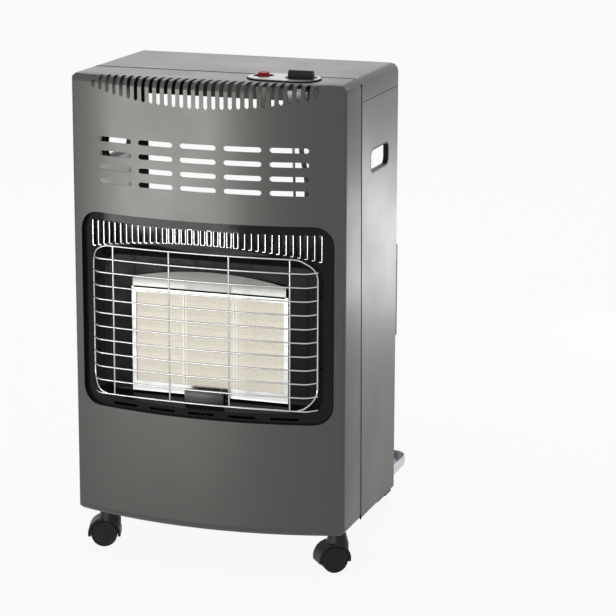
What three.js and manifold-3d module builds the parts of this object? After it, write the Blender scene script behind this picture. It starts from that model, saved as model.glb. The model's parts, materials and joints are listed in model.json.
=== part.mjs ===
// A portable gas cabinet heater in millimetres: a bow-fronted sheet-steel casing on four twin-wheel
// castors, with a three-plaque radiant burner behind a wire guard and an open bay for the gas bottle.
// X runs across the front, Y runs to the rear from the casing's front corners, and Z is height above
// the floor. The finished assembly is centred over the floor at the end.
import * as THREE from "three";
import { mergeVertices } from "three/addons/utils/BufferGeometryUtils.js";
import Module from "manifold-3d";

const wasm = await Module();
wasm.setup();

// Clearances and sheet metal
const FIT = 0.3; // between pieces that touch
const SEAM = 0.8; // open line between neighbouring casing sheets
const SHEET = 1.5; // casing, tray and shield sheet
const THIN_SHEET = 1.2; // burner and trim sheet

// Casing
const CASE_WIDTH = 420;
const CASE_TOP = 730;
const CASE_BOTTOM = 66.5;
const CASE_REAR = 250;
const BOW_DEPTH = 37; // bulge of the front at its middle
const EDGE_RADIUS = 12; // rolled top, bottom and side edges
const CORNER_RADIUS = 8; // upright front corners
const SEAM_TOP_Y = 69; // joint between front casing and rear sheets, at the top
const SEAM_BOTTOM_Y = 82; // and at the bottom
const RETURN_WIDTH = 24; // flange turned in under the casing
const BOW_SIDES = 120; // facets in a full turn of the bow

// Window and openings in the front casing
const WINDOW_WIDTH = 390;
const WINDOW_DROP = 201.2; // from the casing's top to the window
const WINDOW_HEIGHT = 292.1;
const WINDOW_RADIUS = 28;
const WINDOW_LIP = 6; // depth of the edge turned in round the window
const SLOT_COLUMNS = 5;
const SLOT_ROWS = 4;
const SLOT_WIDTH = 55.5;
const SLOT_HEIGHT = 7.5;
const SLOT_COLUMN_PITCH = 66.3;
const SLOT_ROW_PITCH = 20.5;
const SLOT_DROP = 92.5; // from the casing's top to the top row
const VENT_COUNT = 29;
const VENT_PITCH = 12.1;
const VENT_WIDTH = 6.2;
const VENT_REAR_Y = -6; // where the vents end on the top
const VENT_DROP = 39.5; // from the casing's top to the lower end of the middle vent
const VENT_RISE = 20.5; // how much higher the end vents stop

// Top cover and side panels
const SKIRT_DROP = 33.5; // depth of the cover's side skirts
const RAIL_DROP = 66; // from the casing's top to the rear rail's lower edge
const RAIL_INSET = 18; // from the casing's sides to the rail's ends
const SIDE_BOTTOM = 71.6;
const SIDE_RETURN = 16; // rear flange of a side panel
const SIDE_FOOT = 11; // bottom flange of a side panel
const LAP = 10; // width of the joggled laps behind the seams
const HAND_HOLE_LENGTH = 90;
const HAND_HOLE_HEIGHT = 36;
const HAND_HOLE_RADIUS = 12;
const HAND_HOLE_Y = 160;
const HAND_HOLE_DROP = 127; // from the casing's top to the hole's middle
const GRIP_WALL = 2;
const GRIP_DEPTH = 8;
const GRIP_FLANGE = 6;

// Rear-cover brackets
const BRACKET_DROP = 278; // from the casing's top to the brackets
const BRACKET_HEIGHT = 141;
const BRACKET_WIDTH = 14;
const BRACKET_DEPTH = 11.5;

// Base tray and heat shield
const TRAY_LIP = 14;
const TRAY_INSET = 13; // from the casing's outside to the tray's lip
const TRAY_REAR = 402;
const TRAY_REAR_INSET = 20; // from the casing's sides to the tray's rear
const TRAY_CORNER = 28;
const SHIELD_Y = 84;
const SHIELD_RISE = 17; // above the window
const SHIELD_FLANGE = 14;

// Radiant surround: a dished, louvred pressing behind the window
const SURROUND_MARGIN = 8.7; // overlap behind the casing round the window
const DISH_BACK_Y = 12;
const DISH_BACK_HALF = 166;
const DISH_BACK_RISE = 21.3; // above the window's lower edge
const DISH_BACK_HEIGHT = 204;
const DISH_CORNER = 22;
const DISH_SIDE_SPLAY = 0.77; // outward per millimetre forward
const DISH_TOP_SPLAY = 0.7;
const DISH_BOTTOM_SPLAY = 0.2;
const LOUVRE_COUNT = 36;
const LOUVRE_PITCH = 9.9;
const LOUVRE_WIDTH = 6.6;
const LOUVRE_DROP = 12.8; // below the window's upper edge
const LOUVRE_MARGIN = 2.5; // sheet left between the dish edge and the louvres
const INLET_COUNT = 5;
const INLET_LENGTH = 42;
const INLET_HEIGHT = 4;
const INLET_PITCH = 62;
const INLET_DROP = 15; // below the dish's back

// Burner
const PLAQUE_COUNT = 3;
const PLAQUE_WIDTH = 77.4;
const PLAQUE_HEIGHT = 138;
const PLAQUE_THICKNESS = 13;
const PLAQUE_GAP = 0.8;
const PLAQUE_FACE_Y = 8;
const PLAQUE_RISE = 15; // above the lower edge of the dish's back
const HOUSING_DEPTH = 38;
const FRAME_GRIP = 1.5; // overlap of the frame onto the plaques
const FRAME_SIDE = 4.6; // frame outside the plaques, at the sides
const FRAME_HEAD = 6.5; // above them
const FRAME_FOOT = 13; // below them
const DEFLECTOR_HALF = 119;
const DEFLECTOR_RISE = 27;
const DEFLECTOR_END_RISE = 15;

// Wire guard
const WIRE_RADIUS = 1.6;
const WIRE_SIDES = 6;
const GUARD_ROWS = 12;
const GUARD_DROP = 45.8; // below the window's upper edge
const GUARD_PITCH = 20.25;
const GUARD_PROUD = 2; // past the casing's bow at the middle
const GUARD_SAGITTA = 12;
const GUARD_BEND_X = 157; // where the rows turn back
const GUARD_SIDE_X = 173;
const GUARD_SIDE_Y = -13;
const GUARD_TOP_ROW_X = 142;
const GUARD_UPRIGHTS_X = [46, 136];
const GUARD_PRONG_INSET = 26; // prongs in from the ends of the side wires

// Controls
const PLATE_LENGTH = 108;
const PLATE_WIDTH = 62;
const PLATE_INSET = 105; // from the casing's side to the plate's middle
const PLATE_Y = 36;
const PLATE_THICKNESS = 2.5;
const INSERT_MARGIN = 3; // of the plate outside the moulding's body
const INSERT_DEPTH = 9;
const INSERT_FLOOR = 2;
const INSERT_FLANGE = 3;
const KNOB_OFFSET = 25; // from the plate's middle
const KNOB_Y = 37;
const KNOB_RADIUS = 22.3;
const KNOB_TRAVEL = 4;
const KNOB_SKIRT = 4;
const KNOB_GRIP_LENGTH = 38;
const KNOB_GRIP_WIDTH = 13;
const KNOB_GRIP_HEIGHT = 12;
const SPINDLE_RADIUS = 3;
const IGNITER_OFFSET = 33; // from the plate's middle, the other way
const IGNITER_Y = 42;
const IGNITER_WELL_RADIUS = 15;
const BUTTON_RADIUS = 8.3;
const BUTTON_TRAVEL = 6;
const BUTTON_PROUD = 5; // above the control plate
const IGNITER_RADIUS = 10.5;
const IGNITER_LENGTH = 60;
const VALVE_WIDTH = 34;
const VALVE_HEIGHT = 50;
const ROTOR_RADIUS = 9.6;

// Gas line
const PIPE_RADIUS = 4;
const PILOT_PIPE_RADIUS = 2;
const PILOT_PIPE_OFFSET = 8.7; // of its drop from the valve's side
const LEAD_RADIUS = 1.5;
const MIXER_Y = 64;
const MIXER_RISE = 27; // above the plaques' lower edge
const MIXER_RADIUS = 13;
const MIXER_THROAT = 8.5;
const MIXER_LENGTH = 130;
const MIXER_MOUTH_INSET = 24.9; // from the end of the plaque row

// Castors
const WHEEL_RADIUS = 20;
const WHEEL_SIDES = 20;
const WHEEL_INNER_X = 3;
const WHEEL_WIDTH = 13;
const AXLE_RADIUS = 3;
const HOOD_RADIUS = 25;
const HOOD_WALL = 4;
const HOOD_WIDTH = 30;
const HOOD_TOP_Z = 61;
const HOOD_DROP_DEG = 10; // how far the hood's tips pass below the axle
const WEB_THICKNESS = 5;
const STEM_RADIUS = 4;
const COLLAR_RADIUS = 10; // round the stem, under the tray
const NECK_RADIUS = 17; // of the hood's neck, where it meets the arch
const TRAIL = 8;
const REAR_CASTOR_SETBACK = 24; // from the tray's rear edge
const CASTORS = [
  { name: "front_left", inset: 30, side: -1, y: 47, yawDeg: -71 },
  { name: "front_right", inset: 26, side: 1, y: 49, yawDeg: -52 },
  { name: "rear_left", inset: 64, side: -1, y: TRAY_REAR - REAR_CASTOR_SETBACK, yawDeg: -78 },
  { name: "rear_right", inset: 64, side: 1, y: TRAY_REAR - REAR_CASTOR_SETBACK, yawDeg: -90 },
];

// Pilot group: a flame port, a thermocouple and a spark electrode before the middle plaque
const PILOT_HOLE_X = [-38, 28];
const PILOT_X = -22;
const THERMOCOUPLE_X = -2;
const ELECTRODE_X = 15;
const PILOT_Y = -1;
const PILOT_SHELF_DROP = 23; // below the plaques' lower edge
const PILOT_TIP_DROP = 6;

// Values worked out from the driving dimensions
const CASE_HALF = CASE_WIDTH / 2;
const WINDOW_TOP = CASE_TOP - WINDOW_DROP;
const WINDOW_BOTTOM = WINDOW_TOP - WINDOW_HEIGHT;
const SLOT_TOP_ROW_Z = CASE_TOP - SLOT_DROP;
const VENT_LOW_Z = CASE_TOP - VENT_DROP;
const SKIRT_Z = CASE_TOP - SKIRT_DROP;
const RAIL_BOTTOM_Z = CASE_TOP - RAIL_DROP;
const RAIL_HALF_WIDTH = CASE_HALF - RAIL_INSET;
const HAND_HOLE_Z = CASE_TOP - HAND_HOLE_DROP;
const BRACKET_TOP = CASE_TOP - BRACKET_DROP;
const BRACKET_BOTTOM = BRACKET_TOP - BRACKET_HEIGHT;
const TRAY_REAR_HALF = CASE_HALF - TRAY_REAR_INSET;
const SHIELD_TOP = WINDOW_TOP + SHIELD_RISE;
const DISH_BACK_BOTTOM = WINDOW_BOTTOM + DISH_BACK_RISE;
const DISH_BACK_TOP = DISH_BACK_BOTTOM + DISH_BACK_HEIGHT;
const LOUVRE_TOP_Z = WINDOW_TOP - LOUVRE_DROP;
const INLET_Z = DISH_BACK_BOTTOM - INLET_DROP;
const PLAQUE_BOTTOM_Z = DISH_BACK_BOTTOM + PLAQUE_RISE;
const PILOT_SHELF_Z = PLAQUE_BOTTOM_Z - PILOT_SHELF_DROP;
const PILOT_TIP_Z = PLAQUE_BOTTOM_Z - PILOT_TIP_DROP;
const GUARD_TOP_Z = WINDOW_TOP - GUARD_DROP;
const MIXER_Z = PLAQUE_BOTTOM_Z + MIXER_RISE;
const PLATE_X = CASE_HALF - PLATE_INSET;
const KNOB_X = PLATE_X + KNOB_OFFSET;
const IGNITER_X = PLATE_X - IGNITER_OFFSET;
const BOW_RADIUS = (CASE_HALF ** 2 + BOW_DEPTH ** 2) / (2 * BOW_DEPTH);
const BOW_CENTRE_Y = BOW_RADIUS - BOW_DEPTH;
const SURROUND_SETBACK = WINDOW_LIP + FIT;
const TRAY_Z = CASE_BOTTOM + SHEET + FIT;
const AXLE_Z = WHEEL_RADIUS * Math.cos(Math.PI / WHEEL_SIDES);
const FIELD_HALF = (PLAQUE_COUNT * PLAQUE_WIDTH + (PLAQUE_COUNT - 1) * PLAQUE_GAP) / 2;
const FIELD_TOP_Z = PLAQUE_BOTTOM_Z + PLAQUE_HEIGHT;
const MIXER_MOUTH_X = FIELD_HALF - MIXER_MOUTH_INSET;
const PLATE_BOTTOM_Z = CASE_TOP + FIT;
const PLATE_TOP_Z = PLATE_BOTTOM_Z + PLATE_THICKNESS;
const INSERT_BOTTOM_Z = CASE_TOP - INSERT_DEPTH;
const WELL_FLOOR_Z = INSERT_BOTTOM_Z + INSERT_FLOOR;
const VALVE_TOP_Z = INSERT_BOTTOM_Z - FIT;
const VALVE_BOTTOM_Z = VALVE_TOP_Z - VALVE_HEIGHT;
const HOUSING_GROW = FIT + THIN_SHEET; // from the plaque field to the housing's outside
const SKIRT_GROW = HOUSING_GROW + FIT + THIN_SHEET; // and to the outside of the frame's skirt
const GUARD_BOTTOM_Z = GUARD_TOP_Z - (GUARD_ROWS - 1) * GUARD_PITCH;

// Outlines: lists of points with round stretches as arcs
const rad = THREE.MathUtils.degToRad;

function arc(cx, cy, radius, fromDeg, toDeg, steps) {
  return Array.from({ length: steps + 1 }, (_, i) => {
    const angle = rad(fromDeg + ((toDeg - fromDeg) * i) / steps);
    return new THREE.Vector2(cx + radius * Math.cos(angle), cy + radius * Math.sin(angle));
  });
}

function roundedBox(x0, x1, y0, y1, radius, steps = 3) {
  return [
    ...arc(x1 - radius, y0 + radius, radius, -90, 0, steps),
    ...arc(x1 - radius, y1 - radius, radius, 0, 90, steps),
    ...arc(x0 + radius, y1 - radius, radius, 90, 180, steps),
    ...arc(x0 + radius, y0 + radius, radius, 180, 270, steps),
  ];
}

function capsule(cx, cy, length, width, steps) {
  const reach = (length - width) / 2;
  return [
    ...arc(cx + reach, cy, width / 2, -90, 90, steps),
    ...arc(cx - reach, cy, width / 2, 90, 270, steps),
  ];
}

function circle(cx, cy, radius, sides) {
  return arc(cx, cy, radius, 0, 360, sides).slice(0, sides);
}

function polygon(pairs) {
  return pairs.map(([x, y]) => new THREE.Vector2(x, y));
}

function bowY(x, inset = 0) {
  return BOW_CENTRE_Y - Math.sqrt((BOW_RADIUS - inset) ** 2 - x ** 2);
}

function seamY(z) {
  const share = (z - CASE_BOTTOM) / (CASE_TOP - CASE_BOTTOM);
  return SEAM_BOTTOM_Y + (SEAM_TOP_Y - SEAM_BOTTOM_Y) * share;
}

// Solids: closed geometries turned into manifolds for cutting and joining
function solid(geometry) {
  geometry.deleteAttribute("normal");
  geometry.deleteAttribute("uv");
  const merged = mergeVertices(geometry, 1e-4);
  return new wasm.Manifold(
    new wasm.Mesh({
      numProp: 3,
      vertProperties: Float32Array.from(merged.attributes.position.array),
      triVerts: Uint32Array.from(merged.index.array),
    }),
  );
}

function extrusion(points, depth, holes = []) {
  const shape = new THREE.Shape(points);
  shape.holes = holes.map((hole) => new THREE.Path(hole));
  return new THREE.ExtrudeGeometry(shape, { depth, steps: 1, bevelEnabled: false });
}

const X_AXIS = new THREE.Vector3(1, 0, 0);
const Y_AXIS = new THREE.Vector3(0, 1, 0);
const Z_AXIS = new THREE.Vector3(0, 0, 1);
const ALONG_X = new THREE.Matrix4().makeBasis(Y_AXIS, Z_AXIS, X_AXIS);
const ALONG_Y = new THREE.Matrix4().makeBasis(X_AXIS, Z_AXIS, Y_AXIS.clone().negate());

// A plate drawn in Y and Z, thick along X
function plateX(points, x0, x1, holes) {
  return solid(extrusion(points, x1 - x0, holes).applyMatrix4(ALONG_X).translate(x0, 0, 0));
}

// A plate drawn in X and Z, thick along Y
function plateY(points, y0, y1, holes) {
  return solid(extrusion(points, y1 - y0, holes).applyMatrix4(ALONG_Y).translate(0, y1, 0));
}

// A plate drawn in X and Y, thick along Z
function plateZ(points, z0, z1, holes) {
  return solid(extrusion(points, z1 - z0, holes).translate(0, 0, z0));
}

function block(x0, x1, y0, y1, z0, z1) {
  const box = new THREE.BoxGeometry(x1 - x0, y1 - y0, z1 - z0);
  return solid(box.translate((x0 + x1) / 2, (y0 + y1) / 2, (z0 + z1) / 2));
}

// A body turned about an upright axis: the profile is pairs of radius and height
function turned(pairs, sides, x = 0, y = 0) {
  const lathe = new THREE.LatheGeometry(polygon(pairs), sides);
  return solid(lathe.rotateX(Math.PI / 2).translate(x, y, 0));
}

function upright(x, y, radius, z0, z1, sides = 20) {
  return plateZ(circle(x, y, radius, sides), z0, z1);
}

function castorX({ inset, side }) {
  return side * (CASE_HALF - inset);
}

// Upright rods on the castors' swivel axes
function castorRods(radius, z0, z1, sides) {
  return CASTORS.map((castor) => upright(castorX(castor), castor.y, radius, z0, z1, sides));
}

function union(solids) {
  return solids.reduce((whole, next) => whole.add(next));
}

function cutAll(whole, cutters) {
  return cutters.reduce((left, cutter) => left.subtract(cutter), whole);
}

function mirrored(geometrySolid) {
  return geometrySolid.mirror([1, 0, 0]);
}

// A polyline that keeps its own corners as the stations of a swept section
class WirePath extends THREE.Curve {
  constructor(points) {
    super();
    this.points = points;
  }

  getPoint(t) {
    const place = t * (this.points.length - 1);
    const index = Math.min(Math.floor(place + 1e-9), this.points.length - 2);
    return this.points[index].clone().lerp(this.points[index + 1], place - index);
  }

  getPointAt(t) {
    return this.getPoint(t);
  }

  getTangentAt(t) {
    const last = this.points.length - 1;
    const index = Math.round(t * last);
    const here = this.points[index];
    const back = here.clone().sub(this.points[Math.max(index - 1, 0)]).normalize();
    const ahead = this.points[Math.min(index + 1, last)].clone().sub(here).normalize();
    return back.add(ahead).normalize();
  }
}

function wire(points, radius, sides = WIRE_SIDES) {
  const section = new THREE.Shape(circle(0, 0, radius, sides));
  const path = new WirePath(points);
  return solid(new THREE.ExtrudeGeometry(section, { steps: points.length - 1, extrudePath: path }));
}

// A bent tube: straight runs between the listed points, with a bend of three chords at each corner
function bentTube(triples, radius, bend, sides = 8) {
  const corners = triples.map((triple) => new THREE.Vector3(...triple));
  const points = [corners[0]];
  for (let i = 1; i < corners.length - 1; i += 1) {
    const before = corners[i].clone().lerp(corners[i - 1], bend / corners[i].distanceTo(corners[i - 1]));
    const after = corners[i].clone().lerp(corners[i + 1], bend / corners[i].distanceTo(corners[i + 1]));
    const curve = new THREE.QuadraticBezierCurve3(before, corners[i], after);
    points.push(...curve.getPoints(3));
  }
  points.push(corners[corners.length - 1]);
  return wire(points, radius, sides);
}

// A closed skin stretched over outlines that have the same number of points
function loft(sections) {
  const count = sections[0].length;
  const positions = sections.flat().flatMap((point) => point.toArray());
  const triangles = [];
  for (let s = 0; s < sections.length - 1; s += 1) {
    for (let i = 0; i < count; i += 1) {
      const a = s * count + i;
      const b = s * count + ((i + 1) % count);
      triangles.push(a, b, b + count, a, b + count, a + count);
    }
  }
  const last = (sections.length - 1) * count;
  for (let i = 1; i < count - 1; i += 1) {
    triangles.push(0, i + 1, i);
    triangles.push(last, last + i, last + i + 1);
  }
  const geometry = new THREE.BufferGeometry();
  geometry.setAttribute("position", new THREE.Float32BufferAttribute(positions, 3));
  geometry.setIndex(triangles);
  return solid(geometry);
}

// Casing body: the box with rolled edges that the front casing and the top cover are cut from
function bowDrum(inset) {
  const radius = BOW_RADIUS - inset;
  const edge = EDGE_RADIUS - inset;
  const low = CASE_BOTTOM + inset;
  const high = CASE_TOP - inset;
  const rim = [
    ...arc(radius - edge, low + edge, edge, -90, 0, 3),
    ...arc(radius - edge, high - edge, edge, 0, 90, 3),
  ];
  const profile = [[0, low], ...rim.map((p) => [p.x, p.y]), [0, high]];
  return turned(profile, BOW_SIDES, 0, BOW_CENTRE_Y);
}

function plainDrum(inset) {
  const radius = BOW_RADIUS - inset;
  return turned([[0, 0], [radius, 0], [radius, CASE_TOP], [0, CASE_TOP]], BOW_SIDES, 0, BOW_CENTRE_Y);
}

function cornerFillet(inset) {
  const radius = Math.max(CORNER_RADIUS - inset, 2);
  const half = CASE_HALF - inset;
  const bow = BOW_RADIUS - inset;
  const x = half - radius;
  const y = BOW_CENTRE_Y - Math.sqrt((bow - radius) ** 2 - x ** 2);
  const turn = THREE.MathUtils.radToDeg(Math.atan2(y - BOW_CENTRE_Y, x));
  return { radius, half, x, y, turn };
}

// Plan of the casing with its front carried on as two tangents past the bow
function cornerOutline(inset) {
  const { radius, half, x, y, turn } = cornerFillet(inset);
  const right = arc(x, y, radius, turn, 0, 3);
  const left = right.map((p) => new THREE.Vector2(-p.x, p.y)).reverse();
  const tip = right[0].y - right[0].x * Math.tan(rad(90 + turn));
  const rear = CASE_REAR - inset;
  return [new THREE.Vector2(0, tip), ...right, ...polygon([[half, rear], [-half, rear]]), ...left];
}

// Plan of the casing with the bow itself as its front
function planOutline(inset, steps = 16) {
  const { half, x } = cornerFillet(inset);
  const bow = BOW_RADIUS - inset;
  const spread = THREE.MathUtils.radToDeg(Math.asin(x / bow));
  const front = arc(0, BOW_CENTRE_Y, bow, 270 - spread, 270 + spread, steps);
  const rear = CASE_REAR - inset;
  const fillet = cornerFillet(inset).y;
  return [...front, ...polygon([[half, fillet], [half, rear], [-half, rear], [-half, fillet]])];
}

function envelope(inset) {
  const front = roundedBox(
    -CASE_HALF + inset,
    CASE_HALF - inset,
    CASE_BOTTOM + inset,
    CASE_TOP - inset,
    EDGE_RADIUS - inset,
  );
  const plan = plateZ(cornerOutline(inset), 0, CASE_TOP + BOW_DEPTH);
  return plan.intersect(plateY(front, -2 * BOW_DEPTH, CASE_REAR + BOW_DEPTH)).intersect(bowDrum(inset));
}

function windowOutline(grow) {
  const half = WINDOW_WIDTH / 2 + grow;
  return roundedBox(-half, half, WINDOW_BOTTOM - grow, WINDOW_TOP + grow, WINDOW_RADIUS + grow, 5);
}

function frontSlots() {
  const slots = [];
  for (let row = 0; row < SLOT_ROWS; row += 1) {
    for (let column = 0; column < SLOT_COLUMNS; column += 1) {
      const x = (column - (SLOT_COLUMNS - 1) / 2) * SLOT_COLUMN_PITCH;
      const z = SLOT_TOP_ROW_Z - row * SLOT_ROW_PITCH;
      slots.push(plateY(capsule(x, z, SLOT_WIDTH, SLOT_HEIGHT, 3), -2 * BOW_DEPTH, BOW_DEPTH));
    }
  }
  return slots;
}

// Vents that start on the top and run down over the rolled front edge; their lower ends lie on an arc
function topVents() {
  const half = VENT_WIDTH / 2;
  const endX = ((VENT_COUNT - 1) / 2) * VENT_PITCH;
  return Array.from({ length: VENT_COUNT }, (_, i) => {
    const x = i * VENT_PITCH - endX;
    const low = VENT_LOW_Z + VENT_RISE * (x / endX) ** 2;
    const top = CASE_TOP + EDGE_RADIUS;
    const front = [...arc(x, low + half, half, 180, 360, 2), ...polygon([[x + half, top], [x - half, top]])];
    const reach = -2 * BOW_DEPTH;
    const plan = [
      ...arc(x, VENT_REAR_Y - half, half, 0, 180, 2),
      ...polygon([[x - half, reach], [x + half, reach]]),
    ];
    return plateY(front, reach, VENT_REAR_Y).intersect(plateZ(plan, low - half, top));
  });
}

function controlHole() {
  const grow = FIT - INSERT_MARGIN;
  const outline = capsule(PLATE_X, PLATE_Y, PLATE_LENGTH + 2 * grow, PLATE_WIDTH + 2 * grow, 8);
  return plateZ(outline, CASE_TOP - EDGE_RADIUS, CASE_TOP + EDGE_RADIUS);
}

function frontCasing(shell) {
  const top = CASE_TOP + EDGE_RADIUS;
  const region = polygon([[-2 * BOW_DEPTH, 0], [seamY(0), 0], [seamY(top), top], [-2 * BOW_DEPTH, top]]);
  const front = shell.intersect(plateX(region, -CASE_WIDTH, CASE_WIDTH));
  const lip = plateY(windowOutline(SHEET), -2 * BOW_DEPTH, BOW_DEPTH)
    .intersect(plainDrum(SHEET / 2))
    .subtract(plainDrum(WINDOW_LIP));
  const underside = plateZ(planOutline(RETURN_WIDTH), 0, CASE_BOTTOM + EDGE_RADIUS);
  const collars = castorRods(COLLAR_RADIUS + 1, 0, CASE_BOTTOM + EDGE_RADIUS, 12);
  const window = plateY(windowOutline(0), -2 * BOW_DEPTH, BOW_DEPTH);
  const openings = [window, controlHole(), ...frontSlots(), ...topVents()];
  return cutAll(front.add(lip), [underside, ...collars, ...openings]);
}

function topCover(shell) {
  const top = CASE_TOP + EDGE_RADIUS;
  const region = polygon([
    [seamY(SKIRT_Z) + SEAM, SKIRT_Z],
    [CASE_REAR + SHEET, SKIRT_Z],
    [CASE_REAR + SHEET, top],
    [seamY(top) + SEAM, top],
  ]);
  const cover = shell.intersect(plateX(region, -CASE_WIDTH, CASE_WIDTH));
  const rail = block(
    -RAIL_HALF_WIDTH,
    RAIL_HALF_WIDTH,
    CASE_REAR - SHEET,
    CASE_REAR,
    RAIL_BOTTOM_Z,
    SKIRT_Z + SHEET,
  );
  return cover.add(rail);
}

function handHoleOutline(grow) {
  const y = HAND_HOLE_LENGTH / 2 + grow;
  const z = HAND_HOLE_HEIGHT / 2 + grow;
  const radius = HAND_HOLE_RADIUS + grow;
  return roundedBox(HAND_HOLE_Y - y, HAND_HOLE_Y + y, HAND_HOLE_Z - z, HAND_HOLE_Z + z, radius, 4);
}

function seamStrip(fromOffset, toOffset, z0, z1) {
  return polygon([
    [seamY(z0) + fromOffset, z0],
    [seamY(z0) + toOffset, z0],
    [seamY(z1) + toOffset, z1],
    [seamY(z1) + fromOffset, z1],
  ]);
}

// The right side panel: a flat sheet with a rear and a bottom flange, and laps behind its neighbours
function sidePanel() {
  const outer = CASE_HALF;
  const inner = outer - SHEET;
  const lapOuter = inner - FIT;
  const lapInner = lapOuter - SHEET;
  const top = SKIRT_Z - SEAM;
  const lapBottom = CASE_BOTTOM + EDGE_RADIUS + LAP / 2;
  const lapTop = SKIRT_Z + LAP;
  const footFront = seamY(SIDE_BOTTOM) + SEAM;
  const sheet = polygon([
    [footFront, SIDE_BOTTOM],
    [CASE_REAR, SIDE_BOTTOM],
    [CASE_REAR, top],
    [seamY(top) + SEAM, top],
  ]);
  const bodies = [
    plateX(sheet, inner, outer),
    block(inner - SIDE_RETURN, inner + FIT, CASE_REAR - SHEET, CASE_REAR, SIDE_BOTTOM, top),
    block(inner - SIDE_FOOT, inner + FIT, footFront, CASE_REAR, SIDE_BOTTOM, SIDE_BOTTOM + SHEET),
    plateX(seamStrip(-LAP, LAP, lapBottom, lapTop), lapInner, lapOuter),
    plateX(seamStrip(SEAM, LAP, lapBottom, top), lapInner, inner + FIT),
    block(lapInner, lapOuter, seamY(top), CASE_REAR - 2 * SHEET, top - LAP, lapTop),
    block(lapInner, inner + FIT, seamY(top) + SEAM, CASE_REAR - 2 * SHEET, top - LAP, top),
  ];
  return union(bodies).subtract(plateX(handHoleOutline(0), inner - LAP, outer + LAP));
}

// The right hand grip: a liner in the hand hole with a flange behind the sheet
function handGrip() {
  const outer = CASE_HALF;
  const back = outer - SHEET - FIT;
  const liner = plateX(handHoleOutline(-FIT), outer - GRIP_DEPTH, outer);
  const flange = plateX(handHoleOutline(GRIP_FLANGE), back - GRIP_WALL, back);
  return liner.add(flange).subtract(plateX(handHoleOutline(-FIT - GRIP_WALL), 0, outer + GRIP_DEPTH));
}

function trayOutline(inset) {
  const bow = BOW_RADIUS - TRAY_INSET - inset;
  const frontHalf = CASE_HALF - TRAY_INSET - inset;
  const spread = THREE.MathUtils.radToDeg(Math.asin(frontHalf / bow));
  const corner = TRAY_CORNER - inset;
  const rearX = TRAY_REAR_HALF - TRAY_CORNER;
  const rearY = TRAY_REAR - TRAY_CORNER;
  return [
    ...arc(0, BOW_CENTRE_Y, bow, 270 - spread, 270 + spread, 12),
    ...arc(rearX, rearY, corner, 0, 90, 5),
    ...arc(-rearX, rearY, corner, 90, 180, 5),
  ];
}

function baseTray() {
  const pan = plateZ(trayOutline(0), TRAY_Z, TRAY_Z + TRAY_LIP);
  const inside = plateZ(trayOutline(SHEET), TRAY_Z + SHEET, TRAY_Z + 2 * TRAY_LIP);
  const collars = castorRods(COLLAR_RADIUS, HOOD_TOP_Z + FIT, TRAY_Z + SHEET / 2, 12);
  const bores = castorRods(STEM_RADIUS + FIT, 0, TRAY_Z + SHEET / 2, 10);
  return cutAll(union([pan.subtract(inside), ...collars]), bores);
}

// The right rear-cover bracket: a channel whose lips the rear cover hooks into, with a stop at its foot
function coverBracket() {
  const x1 = CASE_HALF - SHEET;
  const x0 = x1 - BRACKET_WIDTH;
  const y0 = CASE_REAR + FIT;
  const y1 = CASE_REAR + BRACKET_DEPTH;
  const channel = polygon([
    [x0, y0], [x1, y0], [x1, y1], [x0, y1], [x0, y1 - SHEET],
    [x1 - SHEET, y1 - SHEET], [x1 - SHEET, y0 + SHEET], [x0, y0 + SHEET],
  ]);
  const stop = block(x0, x1, y0, y1, BRACKET_BOTTOM, BRACKET_BOTTOM + SHEET);
  return plateZ(channel, BRACKET_BOTTOM, BRACKET_TOP).add(stop);
}

// The sheet between the burner and the bottle bay, standing in the tray and reaching both side panels
function heatShield() {
  const footHalf = trayHalfAt(SHIELD_Y + SHEET) - SHEET - FIT;
  const half = CASE_HALF - 2 * SHEET - 2 * FIT;
  const foot = TRAY_Z + SHEET + FIT;
  const shoulder = TRAY_Z + TRAY_LIP + SHEET;
  const outline = polygon([
    [-footHalf, foot], [footHalf, foot], [footHalf, shoulder], [half, shoulder],
    [half, SHIELD_TOP], [-half, SHIELD_TOP], [-half, shoulder], [-footHalf, shoulder],
  ]);
  const front = SHIELD_Y - SHIELD_FLANGE;
  const flange = block(half - SHEET, half, front, SHIELD_Y + SHEET, shoulder, SHIELD_TOP);
  const hem = block(-half, half, SHIELD_Y, SHIELD_Y + SHIELD_FLANGE, SHIELD_TOP - SHEET, SHIELD_TOP);
  return union([plateY(outline, SHIELD_Y, SHIELD_Y + SHEET), flange, mirrored(flange), hem]);
}

function trayHalfAt(y) {
  const frontHalf = CASE_HALF - TRAY_INSET;
  const frontY = bowY(frontHalf, TRAY_INSET);
  const share = (y - frontY) / (TRAY_REAR - TRAY_CORNER - frontY);
  return frontHalf + (TRAY_REAR_HALF - frontHalf) * share;
}

function dishOutline(y, grow) {
  const forward = DISH_BACK_Y - y;
  const half = DISH_BACK_HALF + DISH_SIDE_SPLAY * forward + grow;
  const low = DISH_BACK_BOTTOM - DISH_BOTTOM_SPLAY * forward - grow;
  const high = DISH_BACK_TOP + DISH_TOP_SPLAY * forward + grow;
  return roundedBox(-half, half, low, high, DISH_CORNER + grow, 4).map((p) => new THREE.Vector3(p.x, y, p.y));
}

function surroundLouvres() {
  const louvres = [];
  for (let i = 0; i < LOUVRE_COUNT; i += 1) {
    const x = (i - (LOUVRE_COUNT - 1) / 2) * LOUVRE_PITCH;
    const edge = DISH_BACK_TOP + DISH_TOP_SPLAY * (DISH_BACK_Y - bowY(x, SURROUND_SETBACK));
    const low = edge + SHEET + LOUVRE_MARGIN;
    const half = LOUVRE_WIDTH / 2;
    const outline = roundedBox(x - half, x + half, low, LOUVRE_TOP_Z, LOUVRE_WIDTH / 3, 1);
    louvres.push(plateY(outline, -2 * BOW_DEPTH, BOW_DEPTH));
  }
  return louvres;
}

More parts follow.
